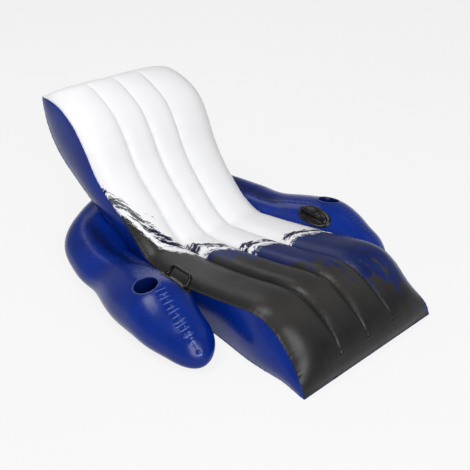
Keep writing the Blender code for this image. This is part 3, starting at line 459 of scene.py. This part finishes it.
down = wrap_share + (1 - wrap_share) * (1 - np.cos(np.linspace(0, np.pi, GUSSET_CELLS + 1))) / 2
from_top, from_low = deep * (down - wrap_share), deep * (1 - down)
crimp = 0.0004 * ripple(run[:, :1], 0.024, 4.1) * np.exp(-from_top / 0.016) * pull
crimp += 0.0005 * ripple(low_run[:, :1], 0.026, 1.7) * np.exp(-from_low / 0.016) * pull
gusset_folds = np.clip(np.exp(-from_top / 0.014) + np.exp(-from_low / 0.014), 0, 1) * np.clip(pull, 0, 1)
gusset = side_wall(down, crimp)
for name, sign in (("left", -1), ("right", 1)):
    piece = sheet("gusset_" + name, (gusset * (sign, 1, 1))[1:-1], np.array((sign, 0, 0)),
                  np.dstack([from_top, np.broadcast_to(run[:, :1], down.shape)])[1:-1],
                  {"folds": gusset_folds[1:-1]})
    piece.data.materials.append(royal)
    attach(piece, "body")
    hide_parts("seat_side_" + name)

# Seat seams: where two sheets of the seat meet, their edges are welded face to face, and the weld
# stands out as a narrow flattened bead in the same blue vinyl.
SEAM_WIDE, SEAM_THICK, SEAM_SIDES = 0.0024, 0.0012, 10


def bead(name, path, broad, wide=SEAM_WIDE, thick=SEAM_THICK):
    """A flattened round bar along a path: path + broad * cos(a) * wide / 2 + rest * sin(a) * thick / 2."""
    heading = np.gradient(path, axis=0)
    heading /= np.linalg.norm(heading, axis=1, keepdims=True)
    broad = broad - (broad * heading).sum(axis=1, keepdims=True) * heading
    broad /= np.linalg.norm(broad, axis=1, keepdims=True)
    rest = np.cross(heading, broad)
    turn = 2 * np.pi * np.arange(SEAM_SIDES) / SEAM_SIDES
    ring = (path[:, None] + broad[:, None] * (np.cos(turn)[:, None] * wide / 2)
            + rest[:, None] * (np.sin(turn)[:, None] * thick / 2))
    ring = np.concatenate([np.repeat(path[:1, None], SEAM_SIDES, axis=1), ring,
                           np.repeat(path[-1:, None], SEAM_SIDES, axis=1)])
    index = np.arange(ring.shape[0] * SEAM_SIDES).reshape(-1, SEAM_SIDES)
    faces = cells_of(np.hstack([index, index[:, :1]]))
    length = np.concatenate([[0], np.cumsum(np.linalg.norm(np.diff(ring.mean(axis=1), axis=0), axis=1))])
    uv = np.dstack([np.broadcast_to(turn * wide, ring.shape[:2]), np.broadcast_to(length[:, None], ring.shape[:2])])
    return new_piece(name, ring.reshape(-1, 3), faces, uv.reshape(-1, 2),
                     {"folds": np.full(ring.shape[0] * SEAM_SIDES, 0.7)})


for name, sign in (("left", -1), ("right", 1)):
    out = np.tile(np.array((sign, 0, 0.0)), (SEAT_ROWS, 1))
    for level, column in (("top", 0), ("low", -1)):
        path = gusset[:, column] * (sign, 1, 1) + (sign * 0.0002, 0, 0)
        path[:, 2] = np.maximum(path[:, 2], SEAM_THICK)
        piece = bead(f"seat_seam_{level}_{name}", path[2:-2], out[2:-2])
        piece.data.materials.append(royal)
        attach(piece, "body")
for name, row in (("foot", 0), ("headrest", -1)):
    middle = (lines.top[row] + lines.low[row]) / 2
    x = np.linspace(-1, 1, 60) * lines.half[row]
    path = np.column_stack([x, np.full(60, middle[0]), np.full(60, max(middle[1], SEAM_THICK))])
    out = np.tile(np.array((0, -1.0 if row == 0 else 0.3, 0.0 if row == 0 else 1.0)), (60, 1))
    piece = bead("seat_seam_" + name, path, out)
    piece.data.materials.append(royal)
    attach(piece, "body")

# Ring: one fat tube of royal blue vinyl, bent round the back of the seat, its two arms ending in round
# noses. An outer sheet and a narrower inner sheet are welded along two seams, and the upper seam
# gathers into a ladder of short puckers over the arms.
TUBE_WIDTH, TUBE_HEIGHT, FLOOR_FLAT = 0.276, 0.220, 0.004
NOSE_LENGTH, NOSE_TURN = 0.130, 6.0
STAND_OFF = 0.0023
REAR_DEPTH = 0.3215
ARM_SHARES = (  # along the seat, stand-off, width, height, roll in degrees
    (0.287, 0.150, 0.740, 0.680, 15.0), (0.343, 0.060, 0.940, 0.890, 13.0),
    (0.386, 0.000, 1.000, 1.000, 11.0), (0.474, 0.000, 0.990, 0.885, 10.0),
    (0.572, 0.000, 0.880, 0.730, 8.0), (0.660, 0.000, 0.870, 0.700, 5.0))
REAR_SHARES = (  # out, back, width, height
    (0.865, 0.440, 1.020, 0.760), (0.740, 0.680, 0.950, 0.870),
    (0.430, 0.900, 0.920, 1.020), (0.000, 1.000, 0.960, 1.120))
SEAM_LOW = -60.0
SEAM_TOP = ((0.00, 0.05, 0.10, 0.14, 0.19, 0.26, 0.285, 0.31, 0.33, 0.36),  # run from the nose, angle
            (95.0, 94.0, 90.0, 86.5, 84.0, 81.5, 79.0, 71.0, 64.5, 60.0))
REAR_FOLD = ((0.40, 0.505, 0.59, 0.70, 0.76, 0.80, 0.92, 1.04),  # the fold of the rear bend: run, angle
             (28.0, 42.0, 66.0, 72.0, 73.0, 80.0, 96.0, 112.0))
FOLD_HALF, FOLD_DEEP = 15.0, 0.0060
RING_ROWS, NOSE_ROWS = 620, 26
FINE_RUN, FINE_STEP, COARSE_STEP = 0.345, 0.0021, 0.0066
PUCKER_RUNS = np.concatenate([(0.016, 0.050, 0.077), np.arange(0.099, 0.285, 0.0188)])
PUCKER_HALF, RIGHT_PUCKERS = 0.0150, 0.15


def ring_table():
    """Stations of the centre line: arms beside the seat's sides, the rear behind it, both mirrored."""
    coarse = SeatLines(np.concatenate([[0.000, 0.003, 0.014], np.linspace(0.035, 0.985, 32), [1.0]]))
    width = coarse.half + coarse.flare / 3 + coarse.bulge * 8 / 9
    arm = smooth_table(ARM_SHARES, np.linspace(0, len(ARM_SHARES) - 1, 3 * len(ARM_SHARES) - 2))
    wide, high, turn = arm[:, 2] * TUBE_WIDTH / 2, arm[:, 3] * TUBE_HEIGHT / 2, np.radians(arm[:, 4])
    y = arm[:, 0] * SEAT_LENGTH + FOOT_Y
    x = -(np.interp(y, coarse.top[:, 0], width) + STAND_OFF + np.maximum(arm[:, 1], 0) * TUBE_WIDTH
          + np.hypot(wide * np.cos(turn), high * np.sin(turn)))
    left = np.column_stack([x, y, wide, high, turn])
    rear = np.array(REAR_SHARES)
    rear = np.column_stack([rear[:, 0] * x[-1], y[-1] + rear[:, 1] * REAR_DEPTH,
                            rear[:, 2] * TUBE_WIDTH / 2, rear[:, 3] * TUBE_HEIGHT / 2, rear[:, 0] * 0])
    half = np.vstack([left, rear])
    return np.vstack([half, half[-2::-1] * (-1, 1, 1, 1, 1)])


def ring_rows(count, nose):
    """Rows (x, y, z, half width, half height, roll) with quarter-ellipse noses at both ends."""
    table = ring_table()
    rows = smooth_table(table, places_along(table, np.linspace(0, 1, count)))
    height = np.hypot(rows[:, 2] * np.sin(rows[:, 4]), rows[:, 3] * np.cos(rows[:, 4])) - FLOOR_FLAT
    full = np.column_stack([rows[:, :2], height, rows[:, 2:]])
    turn = np.pi / 2 * np.arange(nose) / nose
    tip = np.tile(full[0], (nose, 1))
    splay = math.radians(NOSE_TURN) * np.cos(turn)
    tip[:, 0] -= NOSE_LENGTH * np.cos(turn) * np.sin(splay)
    tip[:, 1] -= NOSE_LENGTH * np.cos(turn) * np.cos(splay)
    tip[:, 2] *= 1 - np.cos(turn) ** 2 / 2
    tip[:, 3:5] *= np.sin(turn)[:, None]
    return np.vstack([tip, full, tip[::-1] * (-1, 1, 1, 1, 1, 1)])


def tube(rows, angles):
    """Centre + half width * cos(a) * across + half height * sin(a) * above, kept above the floor."""
    centre = rows[:, :3]
    along = np.gradient(centre[:, :2], axis=0)
    along /= np.linalg.norm(along, axis=1, keepdims=True)
    side = np.stack([along[:, 1], -along[:, 0], along[:, 0] * 0], axis=1)
    up = np.array([0, 0, 1.0])
    turn = rows[:, 5:6]
    across = np.cos(turn) * side + np.sin(turn) * up
    above = np.cos(turn) * up - np.sin(turn) * side
    angle = np.radians(angles)
    points = (centre[:, None] + (rows[:, 3, None] * np.cos(angle))[..., None] * across[:, None]
              + (rows[:, 4, None] * np.sin(angle))[..., None] * above[:, None])
    points[..., 2] = np.maximum(points[..., 2], 0)
    return points


def eased(rows, reach):
    """Rows with the kinks between stations blended out: a Gaussian mean over the run, radii squared first,
    each end carried on as its own mirror image through a point, so that the noses stay closed. The new
    rows lie close together over the arms, where the puckers are."""
    run = np.concatenate([[0], np.cumsum(np.linalg.norm(np.diff(rows[:, :2], axis=0), axis=1))])
    even = np.linspace(0, run[-1], 1600)
    step = even[1]
    pad = int(3 * reach / step)
    kernel = np.exp(-0.5 * (np.arange(-pad, pad + 1) * step / reach) ** 2)
    kernel /= kernel.sum()
    tip = NOSE_LENGTH / 2 * (1 - np.cos(np.linspace(0, np.pi / 2, NOSE_ROWS, endpoint=False)))
    fine = np.arange(NOSE_LENGTH / 2, FINE_RUN, FINE_STEP)
    middle = np.linspace(FINE_RUN, run[-1] / 2, int((run[-1] / 2 - FINE_RUN) / COARSE_STEP))
    half = np.concatenate([tip, fine, middle])
    places = np.concatenate([half, run[-1] - half[-2::-1]])
    out = np.empty((len(places), rows.shape[1]))
    for column, power in ((0, 1), (1, 1), (2, 1), (3, 2), (4, 2), (5, 1)):
        value = np.interp(even, run, rows[:, column] ** power)
        value = np.concatenate([2 * value[0] - value[pad:0:-1], value, 2 * value[-1] - value[-2:-pad - 2:-1]])
        mean = np.interp(places, even, np.convolve(value, kernel, "valid"))
        out[:, column] = np.maximum(mean, 0) ** (1 / power) if power == 2 else mean
    return out


rows = eased(ring_rows(RING_ROWS, NOSE_ROWS), 0.030)
ring_run = np.concatenate([[0], np.cumsum(np.linalg.norm(np.diff(rows[:, :2], axis=0), axis=1))])
ring_size = np.hypot(rows[:, 3], rows[:, 4]) / math.sqrt(2)
from_end = np.minimum(ring_run, ring_run[-1] - ring_run)
seam_top = np.interp(from_end, *SEAM_TOP)[:, None]


def ladder(run, gap):
    """Short creases across the seam, at a slightly uneven pitch, length and lean: how deep they are pressed,
    the sum over them of exp(-along^2) * exp(-across^4), how strong a painted highlight is on the lip on their
    nose side, and how strong the painted shade is in the pit behind it."""
    press, lip_highlight, pit_shade = (np.zeros_like(gap) for _ in range(3))
    for k, place in enumerate(PUCKER_RUNS):
        along = run - place - 0.0022 * math.sin(2.1 * k) - 0.07 * gap
        wide = PUCKER_HALF * (1 + 0.18 * math.sin(3.7 * k + 1)) * min(0.35 + 6.5 * place, 1)
        shape = np.exp(-((gap - 0.002 * math.sin(3.3 * k)) / wide) ** 4)
        press += shape * (0.0032 * np.exp(-((along - 0.0030) / 0.0030) ** 2)
                          - 0.0022 * np.exp(-((along + 0.0034) / 0.0030) ** 2))
        lip_highlight += shape * np.exp(-((along + 0.0030) / 0.0023) ** 2)
        pit_shade += shape * np.exp(-((along - 0.0036) / 0.0026) ** 2)
    return press, np.clip(lip_highlight, 0, 1), np.clip(pit_shade, 0, 1)


def ring_sheet(name, low, high, cells):
    """The tube between two angles, its cells packed towards the seams, with seam puckers pressed in."""
    t = np.linspace(0, 1, cells + 1)
    t = t - 0.80 * np.sin(2 * np.pi * t) / (2 * np.pi)
    angles = low + (high - low) * t
    points = tube(rows, angles)
    outside = points - rows[:, None, :3]
    gap_top = ring_size[:, None] * np.radians((angles - seam_top + 180) % 360 - 180)
    gap_low = ring_size[:, None] * np.radians(np.abs((angles - SEAM_LOW + 180) % 360 - 180))
    run = np.broadcast_to(from_end[:, None], points.shape[:2])
    behind = (smooth_step(from_end, 0.36, 0.42) * (1 - smooth_step(from_end, 0.60, 0.85)) + 0.15)[:, None]
    fold = np.exp(-(((angles - np.interp(from_end, *REAR_FOLD)[:, None] + 180) % 360 - 180) / FOLD_HALF) ** 2)
    fold *= (smooth_step(from_end, 0.47, 0.60) * (1 - 0.75 * smooth_step(from_end, 0.84, 1.08)))[:, None]
    press, lip_highlight, pit_shade = ladder(run, gap_top)
    slighter = np.where(np.arange(len(rows)) < len(rows) // 2, 1.0, RIGHT_PUCKERS)[:, None]
    press, lip_highlight, pit_shade = press * slighter, lip_highlight * slighter, pit_shade * slighter
    press += FOLD_DEEP * fold
    press += 0.0008 * np.exp(-(gap_top / 0.0035) ** 2)
    press += 0.0016 * (0.5 + 0.5 * ripple(run, 0.0235, 0.6)) * np.exp(-(gap_top / 0.010) ** 2) * behind
    press += 0.0012 * (0.5 + 0.5 * ripple(run, 0.027, 2.6)) * np.exp(-(gap_low / 0.012) ** 2)
    press += 0.0010 * np.exp(-(gap_low / 0.0040) ** 2)
    fade = smooth_step(ring_size, 0.0, 0.05)[:, None]
    points = points - normals_of(points, outside) * (press * fade)[..., None]
    points[..., 2] = np.maximum(points[..., 2], 0)
    folds = np.clip(np.exp(-np.abs(gap_top) / 0.012) + np.exp(-gap_low / 0.012), 0, 1) * 0.35 * fade
    uv = np.dstack([ring_size[:, None] * np.radians(angles), np.broadcast_to(ring_run[:, None], run.shape)])
    # The depth mark is painted shade, dark along the rear bend's fold and in the puckers' pits. The lips get a
    # painted highlight.
    return sheet(name, points, outside, uv, {"folds": folds, "lip_highlight": lip_highlight * 0.9, "depth": np.maximum(fold * 0.95, pit_shade * 0.6)})


ring_outer = ring_sheet("ring_outer", seam_top, SEAM_LOW + 360, 58)
ring_inner = ring_sheet("ring_inner", SEAM_LOW, seam_top, 34)
for piece, node in ((ring_outer, "ring_outer_sheet"), (ring_inner, "ring_inner_sheet")):
    piece.data.materials.append(royal)
    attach(piece, "body")
    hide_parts(node)

# Cup wells: a cup formed of blue vinyl, painted darker for the shade inside the well, hangs in a round hole in each
# arm. Its lip is welded flat on the arm's sheet, so the lip follows the arm's curve, and the wall tapers to a rounded
# floor; the top of the lip gets a painted highlight.
CUP_RADIUS, CUP_DEPTH, CUP_FLOOR = 0.0472, 0.088, 0.037
CUP_ALONG, CUP_ANGLE = 0.416, 92.0
HANDLE_ALONG, HANDLE_ANGLE = 0.400, 31.0


def frame_at(point, normal, along):
    """A placement whose Z is the normal and whose X follows a direction."""
    z = Vector(normal).normalized()
    x = Vector(along)
    x = (x - z * x.dot(z)).normalized()
    placement = Matrix((x, z.cross(x), z)).transposed().to_4x4()
    placement.translation = Vector(point)
    return placement


def arm_patch(along, angle, side):
    """A frame on an arm, and the arm's height over its XY plane as a fourth-degree fit of x and y."""
    half = len(rows) // 2
    row = int(np.argmin(np.abs(rows[:half // 2, 1] - along * SEAT_LENGTH - FOOT_Y)))
    angles = angle + np.linspace(-50, 50, 41)
    near = np.flatnonzero(np.abs(ring_run - ring_run[row]) < 0.16)
    points = tube(rows, angles)
    normal = normals_of(points[near], (points - rows[:, None, :3])[near])
    flip = np.array([-side, 1, 1])
    placement = frame_at(points[row, 20] * flip, normal[row - near[0], 20] * flip, (0, 1, 0))
    local = (points[near].reshape(-1, 3) * flip - np.array(placement.translation)) @ np.array(placement.to_3x3())
    powers = [(a, b) for a in range(5) for b in range(5 - a)]
    terms = np.stack([local[:, 0] ** a * local[:, 1] ** b for a, b in powers], axis=1)
    scale = np.abs(terms).max(axis=0)
    fit = np.linalg.lstsq(terms / scale, local[:, 2], rcond=None)[0] / scale

    def height(x, y):
        return sum(k * x ** a * y ** b for k, (a, b) in zip(fit, powers))

    return placement, height


def placed(placement, points):
    """Points of a placement's own frame in the row frame."""
    return points @ np.array(placement.to_3x3()).T + np.array(placement.translation)


def closed_turn(name, grid, uv, folds, lip_highlight=0.0):
    """A closed surface from a grid whose columns wrap round and whose end rows shrink to poles."""
    index = np.arange(grid.shape[0] * grid.shape[1]).reshape(grid.shape[:2])
    faces = cells_of(np.hstack([index, index[:, :1]]))
    return new_piece(name, grid.reshape(-1, 3), faces, uv.reshape(-1, 2),
                     {"folds": folds.ravel(), "lip_highlight": (folds * 0 + lip_highlight).ravel()})


def cut_hole(piece, placement, radius):
    """Cut a round hole through a sheet with an exact difference."""
    cutter = bpy.data.objects.new("cutter", bpy.data.meshes.new("cutter"))
    bpy.context.scene.collection.objects.link(cutter)
    bm = bmesh.new()
    bmesh.ops.create_cone(bm, cap_ends=True, segments=96, radius1=radius, radius2=radius, depth=0.06,
                          matrix=placement)
    bm.to_mesh(cutter.data)
    bm.free()
    modifier = piece.modifiers.new("hole", "BOOLEAN")
    modifier.operation, modifier.solver, modifier.object = "DIFFERENCE", "EXACT", cutter
    bpy.context.view_layer.update()
    graph = bpy.context.evaluated_depsgraph_get()
    mesh = bpy.data.meshes.new_from_object(piece.evaluated_get(graph))
    piece.modifiers.clear()
    piece.data = mesh
    bpy.data.objects.remove(cutter, do_unlink=True)


# painted shade: the cup's blues are painted darker than the arm's for the shade inside the well
cup_shaded_blue = blue_finish("cup_vinyl", colour(0.0012, 0.0070, 0.065), colour(0.0018, 0.0100, 0.090), 0.25)
cup_profile = np.array([  # radius, height over the arm, share of the arm's curve that it follows
    (0.0000, -0.0870, 0.0), (0.0180, -0.0870, 0.0), (0.0300, -0.0868, 0.0), (0.0345, -0.0855, 0.0),
    (0.0366, -0.0825, 0.0), (0.0378, -0.0780, 0.0), (0.0398, -0.0640, 0.0), (0.0418, -0.0480, 0.1),
    (0.0436, -0.0320, 0.35), (0.0449, -0.0180, 0.7), (0.0455, -0.0080, 0.95), (0.0460, -0.0025, 1.0),
    (0.0468, 0.0004, 1.0), (0.0480, 0.0017, 1.0), (0.0500, 0.0023, 1.0), (0.0520, 0.0022, 1.0),
    (0.0535, 0.0016, 1.0), (0.0542, 0.0008, 1.0), (0.0541, 0.0002, 1.0), (0.0532, 0.0000, 1.0),
    (0.0500, 0.0000, 1.0), (0.0474, -0.0008, 1.0), (0.0466, -0.0080, 0.95), (0.0460, -0.0180, 0.7),
    (0.0446, -0.0330, 0.35), (0.0428, -0.0480, 0.1), (0.0408, -0.0640, 0.0), (0.0388, -0.0780, 0.0),
    (0.0372, -0.0840, 0.0), (0.0340, -0.0872, 0.0), (0.0180, -0.0880, 0.0), (0.0000, -0.0880, 0.0)])
for name, side in (("left", -1), ("right", 1)):
    placement, height = arm_patch(CUP_ALONG, CUP_ANGLE, side)
    cut_hole(ring_outer, placement, CUP_RADIUS + 0.0012)
    turn = 2 * np.pi * np.arange(96) / 96
    radius = cup_profile[:, :1] * np.ones(96)
    wrinkle = ripple(turn / (2 * np.pi), 1 / 17, 0.5) * 0.0005 * np.exp(-((cup_profile[:, 1:2] + 0.03) / 0.03) ** 2)
    radius = radius + wrinkle * (radius > 0.02)
    x, y = radius * np.cos(turn), radius * np.sin(turn)
    z = cup_profile[:, 1:2] + cup_profile[:, 2:3] * height(x, y)
    uv = np.dstack([np.broadcast_to(turn * CUP_RADIUS, x.shape), np.broadcast_to(cup_profile[:, 1:2], x.shape)])
    # the top of the lip gets a painted highlight
    piece = closed_turn("cup_" + name, placed(placement, np.dstack([x, y, z])), uv,
                        np.broadcast_to(np.exp(-np.abs(cup_profile[:, 1:2]) / 0.004), x.shape),
                        0.30 * smooth_step(cup_profile[:, 1:2], 0.0008, 0.0022))
    piece.data.materials.append(cup_shaded_blue)
    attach(piece, "body")
    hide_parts("cup_well_" + name)

# Grab handles: an oval pad of black moulded vinyl is welded to each arm's inner slope, with a raised
# rim, and an arched grip of the same stuff stands on it on two flared feet.
PAD_LENGTH, PAD_WIDTH, PAD_THICKNESS = 0.172, 0.084, 0.0015
GRIP_SPAN, GRIP_RISE, GRIP_WIDTH, GRIP_THICKNESS, GRIP_CORNER = 0.110, 0.047, 0.018, 0.012, 0.016

black, shader, tap, where = new_finish("black_vinyl", Specular_IOR_Level=0.28)
grain = tap.node("TexVoronoi", {"Vector": where, "Scale": 900.0})
scuff = tap.speckle(where, 60.0, 5.0, 0.65)
pour(shader, Base_Color=scuff.ramp(0.35, 0.75).blend(colour(0.0060, 0.0048, 0.0046), colour(0.0130, 0.0110, 0.0105)),
     Roughness=scuff.ramp(0.3, 0.7, 0.17, 0.32),
     Normal=tap.relief(grain, 0.00012, 0.5, tap.relief(tap.speckle(where, 45.0), 0.0006, 0.5)))
pad_profile = np.array([  # share of the outline, height over the arm
    (0.00, 0.0020), (0.30, 0.0020), (0.60, 0.0020), (0.78, 0.0020), (0.84, 0.0022), (0.875, 0.0032),
    (0.905, 0.0038), (0.935, 0.0036), (0.96, 0.0028), (0.985, 0.0018), (0.998, 0.0009), (1.00, 0.0003),
    (0.98, 0.0002), (0.70, 0.0002), (0.35, 0.0002), (0.00, 0.0002)])
for name, side in (("left", -1), ("right", 1)):
    placement, height = arm_patch(HANDLE_ALONG, HANDLE_ANGLE, side)
    turn = 2 * np.pi * np.arange(112) / 112
    oval_x = PAD_LENGTH / 2 * np.sign(np.cos(turn)) * np.abs(np.cos(turn)) ** 0.8
    oval_y = PAD_WIDTH / 2 * np.sign(np.sin(turn)) * np.abs(np.sin(turn)) ** 0.8
    x, y = pad_profile[:, :1] * oval_x, pad_profile[:, :1] * oval_y
    points = placed(placement, np.dstack([x, y, height(x, y) + pad_profile[:, 1:2]]))
    pad = closed_turn("pad_" + name, points, np.dstack([x, y]), x * 0)

    t = np.linspace(0, 1, 73)
    leg, corner = GRIP_RISE - GRIP_CORNER, GRIP_CORNER * math.pi / 2
    flat_run = GRIP_SPAN / 2 - GRIP_CORNER
    length = leg + corner + flat_run
    s = np.abs(2 * t - 1) * length
    bend = np.clip((s - flat_run) / corner, 0, 1) * np.pi / 2
    path_x = np.sign(2 * t - 1) * (np.minimum(s, flat_run) + GRIP_CORNER * np.sin(bend)
                                   + 0.10 * np.maximum(s - flat_run - corner, 0))
    rise = GRIP_RISE - GRIP_THICKNESS / 2
    path_z = rise - GRIP_CORNER * (1 - np.cos(bend)) - np.maximum(s - flat_run - corner, 0)
    floor = height(path_x, path_x * 0)
    path_z = np.maximum(path_z, floor + 0.0016)
    over = path_z - floor
    heading = np.stack([np.gradient(path_x), np.gradient(path_z)], axis=1)
    heading /= np.linalg.norm(heading, axis=1, keepdims=True)
    around = 2 * np.pi * np.arange(28) / 28
    flare = 1.0 + np.exp(-np.maximum(over - 0.0016, 0) / 0.0045)
    wide = GRIP_WIDTH / 2 * (flare * 0.92)[:, None] * np.sign(np.cos(around)) * np.abs(np.cos(around)) ** 0.75
    thick = GRIP_THICKNESS / 2 * (flare ** 1.2)[:, None] * np.sign(np.sin(around)) * np.abs(np.sin(around)) ** 0.75
    bar = np.dstack([path_x[:, None] - heading[:, 1:] * thick, wide, path_z[:, None] + heading[:, :1] * thick])
    bar[..., 2] = np.maximum(bar[..., 2], height(bar[..., 0], bar[..., 1]) + 0.0010)
    bar = np.concatenate([np.repeat(bar[:1].mean(axis=1, keepdims=True), 28, axis=1), bar,
                          np.repeat(bar[-1:].mean(axis=1, keepdims=True), 28, axis=1)])
    uv = np.dstack([np.broadcast_to(around, bar.shape[:2]), bar[..., 0]])
    grip = closed_turn("grip_" + name, placed(placement, bar), uv, bar[..., 0] * 0)
    for piece, node in ((pad, "handle_pad_" + name), (grip, "handle_grip_" + name)):
        piece.data.materials.append(black)
        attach(piece, "body")
        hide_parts(node)

# Air valves: each chamber has a moulded clear vinyl valve, a flange welded to the sheet, a neck that
# pushes in flush, a cap on a strap and a check flap inside. Their solids stay, in milky clear vinyl.
clear, shader, tap, where = new_finish("clear_vinyl", Specular_IOR_Level=0.5, Transmission_Weight=0.55, IOR=1.5)
haze = tap.speckle(where, 60.0, 3.0, 0.5)
pour(shader, Base_Color=haze.ramp(0.3, 0.7).blend(colour(0.72, 0.76, 0.81), colour(0.79, 0.82, 0.86)),
     Roughness=haze.ramp(0.3, 0.7, 0.16, 0.28),
     Normal=tap.relief(haze, 0.0002, 0.3))
FLANGE_THICK, BED_REACH, SLEEVE_HOLE = 0.0010, 0.030, 0.0134


def coordinates(mesh):
    """The vertices of a mesh as rows of x, y and z."""
    flat = np.empty(3 * len(mesh.vertices), np.float32)
    mesh.vertices.foreach_get("co", flat)
    return flat.reshape(-1, 3)


def bed(piece, flange, axis):
    """Press a sheet down to a flange's underside and cut the hole for its sleeve. Each vertex goes down the
    axis by the sheet's height over the underside * exp(-(reach / BED_REACH)^4)."""
    axis = np.array(axis) / np.linalg.norm(axis)
    points, rim = coordinates(piece.data), coordinates(nodes[flange].data)
    middle = rim.mean(axis=0)
    under = (rim @ axis).max() - FLANGE_THICK
    high = points @ axis
    reach = np.linalg.norm(np.cross(points - middle, axis), axis=1)
    here = high > under - BED_REACH
    over = high[here & (reach < SLEEVE_HOLE)].max() - under
    points -= axis * (over * np.exp(-(reach / BED_REACH) ** 4) * here)[:, None]
    piece.data.vertices.foreach_set("co", points.astype(np.float32).ravel())
    piece.data.update()
    cut_hole(piece, frame_at(middle, axis, (0, 0, 1)), SLEEVE_HOLE)


bed(bpy.data.objects["gusset_right"], "seat_valve_flange", (0.99928, -0.02781, -0.02565))
bed(ring_outer, "ring_valve_flange", (0.15448, 0.97014, 0.18701))
for prefix in ("seat_valve_", "ring_valve_"):
    for part in ("flange", "neck", "cap", "flap"):
        nodes[prefix + part].data.materials.clear()
        nodes[prefix + part].data.materials.append(clear)

# Inner webs and weld strips: three thin webs of translucent grey vinyl tie the seat's top to its base
# under the welds, and a strip on each side welds the ring's tube to the seat's gusset.
WEB_REACH, WEB_GAP, WEB_SLACK = (0.078, 0.975), 0.03, 0.0015

web, shader, tap, where = new_finish("web_vinyl", Specular_IOR_Level=0.4)
mottle = tap.speckle(where, 30.0, 4.0, 0.6)
pour(shader, Base_Color=mottle.ramp(0.3, 0.7).blend(colour(0.42, 0.44, 0.48), colour(0.56, 0.58, 0.62)),
     Roughness=mottle.ramp(0.3, 0.7, 0.40, 0.55), Normal=tap.relief(mottle, 0.0008, 0.4))
web_rows = np.flatnonzero((lines.shares > WEB_REACH[0]) & (lines.shares < WEB_REACH[1]))
for name, column, place in (("left", 1, -0.5), ("centre", 2, 0.0), ("right", 3, 0.5)):
    head = seat_top[web_rows, column * CHANNEL_CELLS]
    foot = base[web_rows, int(np.argmin(np.abs(across_low - place)))]
    t = WEB_GAP + (1 - 2 * WEB_GAP) * np.linspace(0, 1, 9)[:, None]
    hung = foot[:, None] + (head - foot)[:, None] * t
    hung[..., 0] += WEB_SLACK * np.sin(np.pi * t[:, 0]) * np.sin(18 * np.pi * lines.shares[web_rows])[:, None]
    piece = sheet("web_" + name, hung, np.array((1.0, 0, 0)),
                  np.dstack([hung[..., 1], hung[..., 2]]))
    piece.data.materials.append(web)
    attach(piece, "body")
    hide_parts("seat_baffle_" + name)
for name in ("left", "right"):
    nodes["weld_strip_" + name].data.materials.clear()
    nodes["weld_strip_" + name].data.materials.append(royal)

# Floor and light: a plain white floor, a soft pale world, and three large soft lamps, the biggest of
# them high on the left behind the camera.
floor_mesh = bpy.data.meshes.new("floor")
floor_mesh.from_pydata([(-60, -60, 0), (60, -60, 0), (60, 60, 0), (-60, 60, 0)], [], [(0, 1, 2, 3)])
floor = bpy.data.objects.new("floor", floor_mesh)
floor.location = (0, 0, -0.0006)
bpy.context.scene.collection.objects.link(floor)
floor_paint, shader, tap, where = new_finish("floor_paint", Specular_IOR_Level=0.1, Roughness=0.9)
shader.inputs["Base Color"].default_value = colour(0.60, 0.60, 0.60)
path = tap.node("LightPath")
seen = Tap(tap.tree, path.socket.node.outputs["Is Camera Ray"]) + Tap(tap.tree, path.socket.node.outputs["Is Glossy Ray"])
seen = seen + Tap(tap.tree, path.socket.node.outputs["Is Transmission Ray"])
glow = tap.node("Emission", {"Color": colour(1, 1, 1), "Strength": 1.0})
mixed = tap.node("MixShader", {0: seen * 0.84, 1: Tap(tap.tree, shader.outputs[0]), 2: glow})
floor_paint.node_tree.links.new(mixed.socket, floor_paint.node_tree.nodes["Material Output"].inputs["Surface"])
floor_mesh.materials.append(floor_paint)


def lamp(name, place, aim, size, power):
    """A square area lamp turned to its aim."""
    light = bpy.data.lights.new(name, "AREA")
    light.shape, light.size, light.energy = "SQUARE", size, power
    thing = bpy.data.objects.new(name, light)
    thing.location = place
    thing.rotation_euler = (Vector(aim) - Vector(place)).to_track_quat("-Z", "Y").to_euler()
    bpy.context.scene.collection.objects.link(thing)


lamp("left", (-1.6, 0.7, 3.6), (0, 0, 0.2), 1.5, 58)
lamp("rear", (0.9, 3.3, 3.1), (0, 0, 0.2), 1.8, 20)
lamp("key", (-1.6, -4.0, 2.4), (0, 0, 0.2), 2.6, 158)
lamp("fill", (3.2, -2.2, 3.4), (0, 0, 0.2), 3.4, 10)

world = bpy.data.worlds.new("pale_room")
bpy.context.scene.world = world
world.use_nodes = True
sky = Tap(world.node_tree)
up = sky.node("SeparateXYZ", {0: sky.node("TexCoord", out=0)}, out=2)
pale = up.ramp(0.0, 0.55).blend(colour(0.42, 0.42, 0.43), colour(0.25, 0.25, 0.26))
world.node_tree.links.new(pale.socket, world.node_tree.nodes["Background"].inputs["Color"])

# Camera: stands to the left in front of the foot end, at a standing adult's eye height.
HEADING, FOCAL_PX, FRAME_PX = math.radians(-42.6), 734.0, 470.0
ahead = Vector((0.588, 0.639, -0.4955)).normalized()
right = Vector((math.cos(HEADING), math.sin(HEADING), 0))
right = (right - ahead * right.dot(ahead)).normalized()
camera_data = bpy.data.cameras.new("camera")
camera_data.sensor_width = 36.0
camera_data.lens = FOCAL_PX / FRAME_PX * camera_data.sensor_width
camera = bpy.data.objects.new("camera", camera_data)
bpy.context.scene.collection.objects.link(camera)
stand = Matrix((right, right.cross(ahead), -ahead)).transposed().to_4x4()
stand.translation = Vector((-1.805, -1.222 + FOOT_Y, 1.713))
camera.matrix_world = stand
bpy.context.scene.camera = camera
bpy.context.scene.view_settings.view_transform = "Standard"
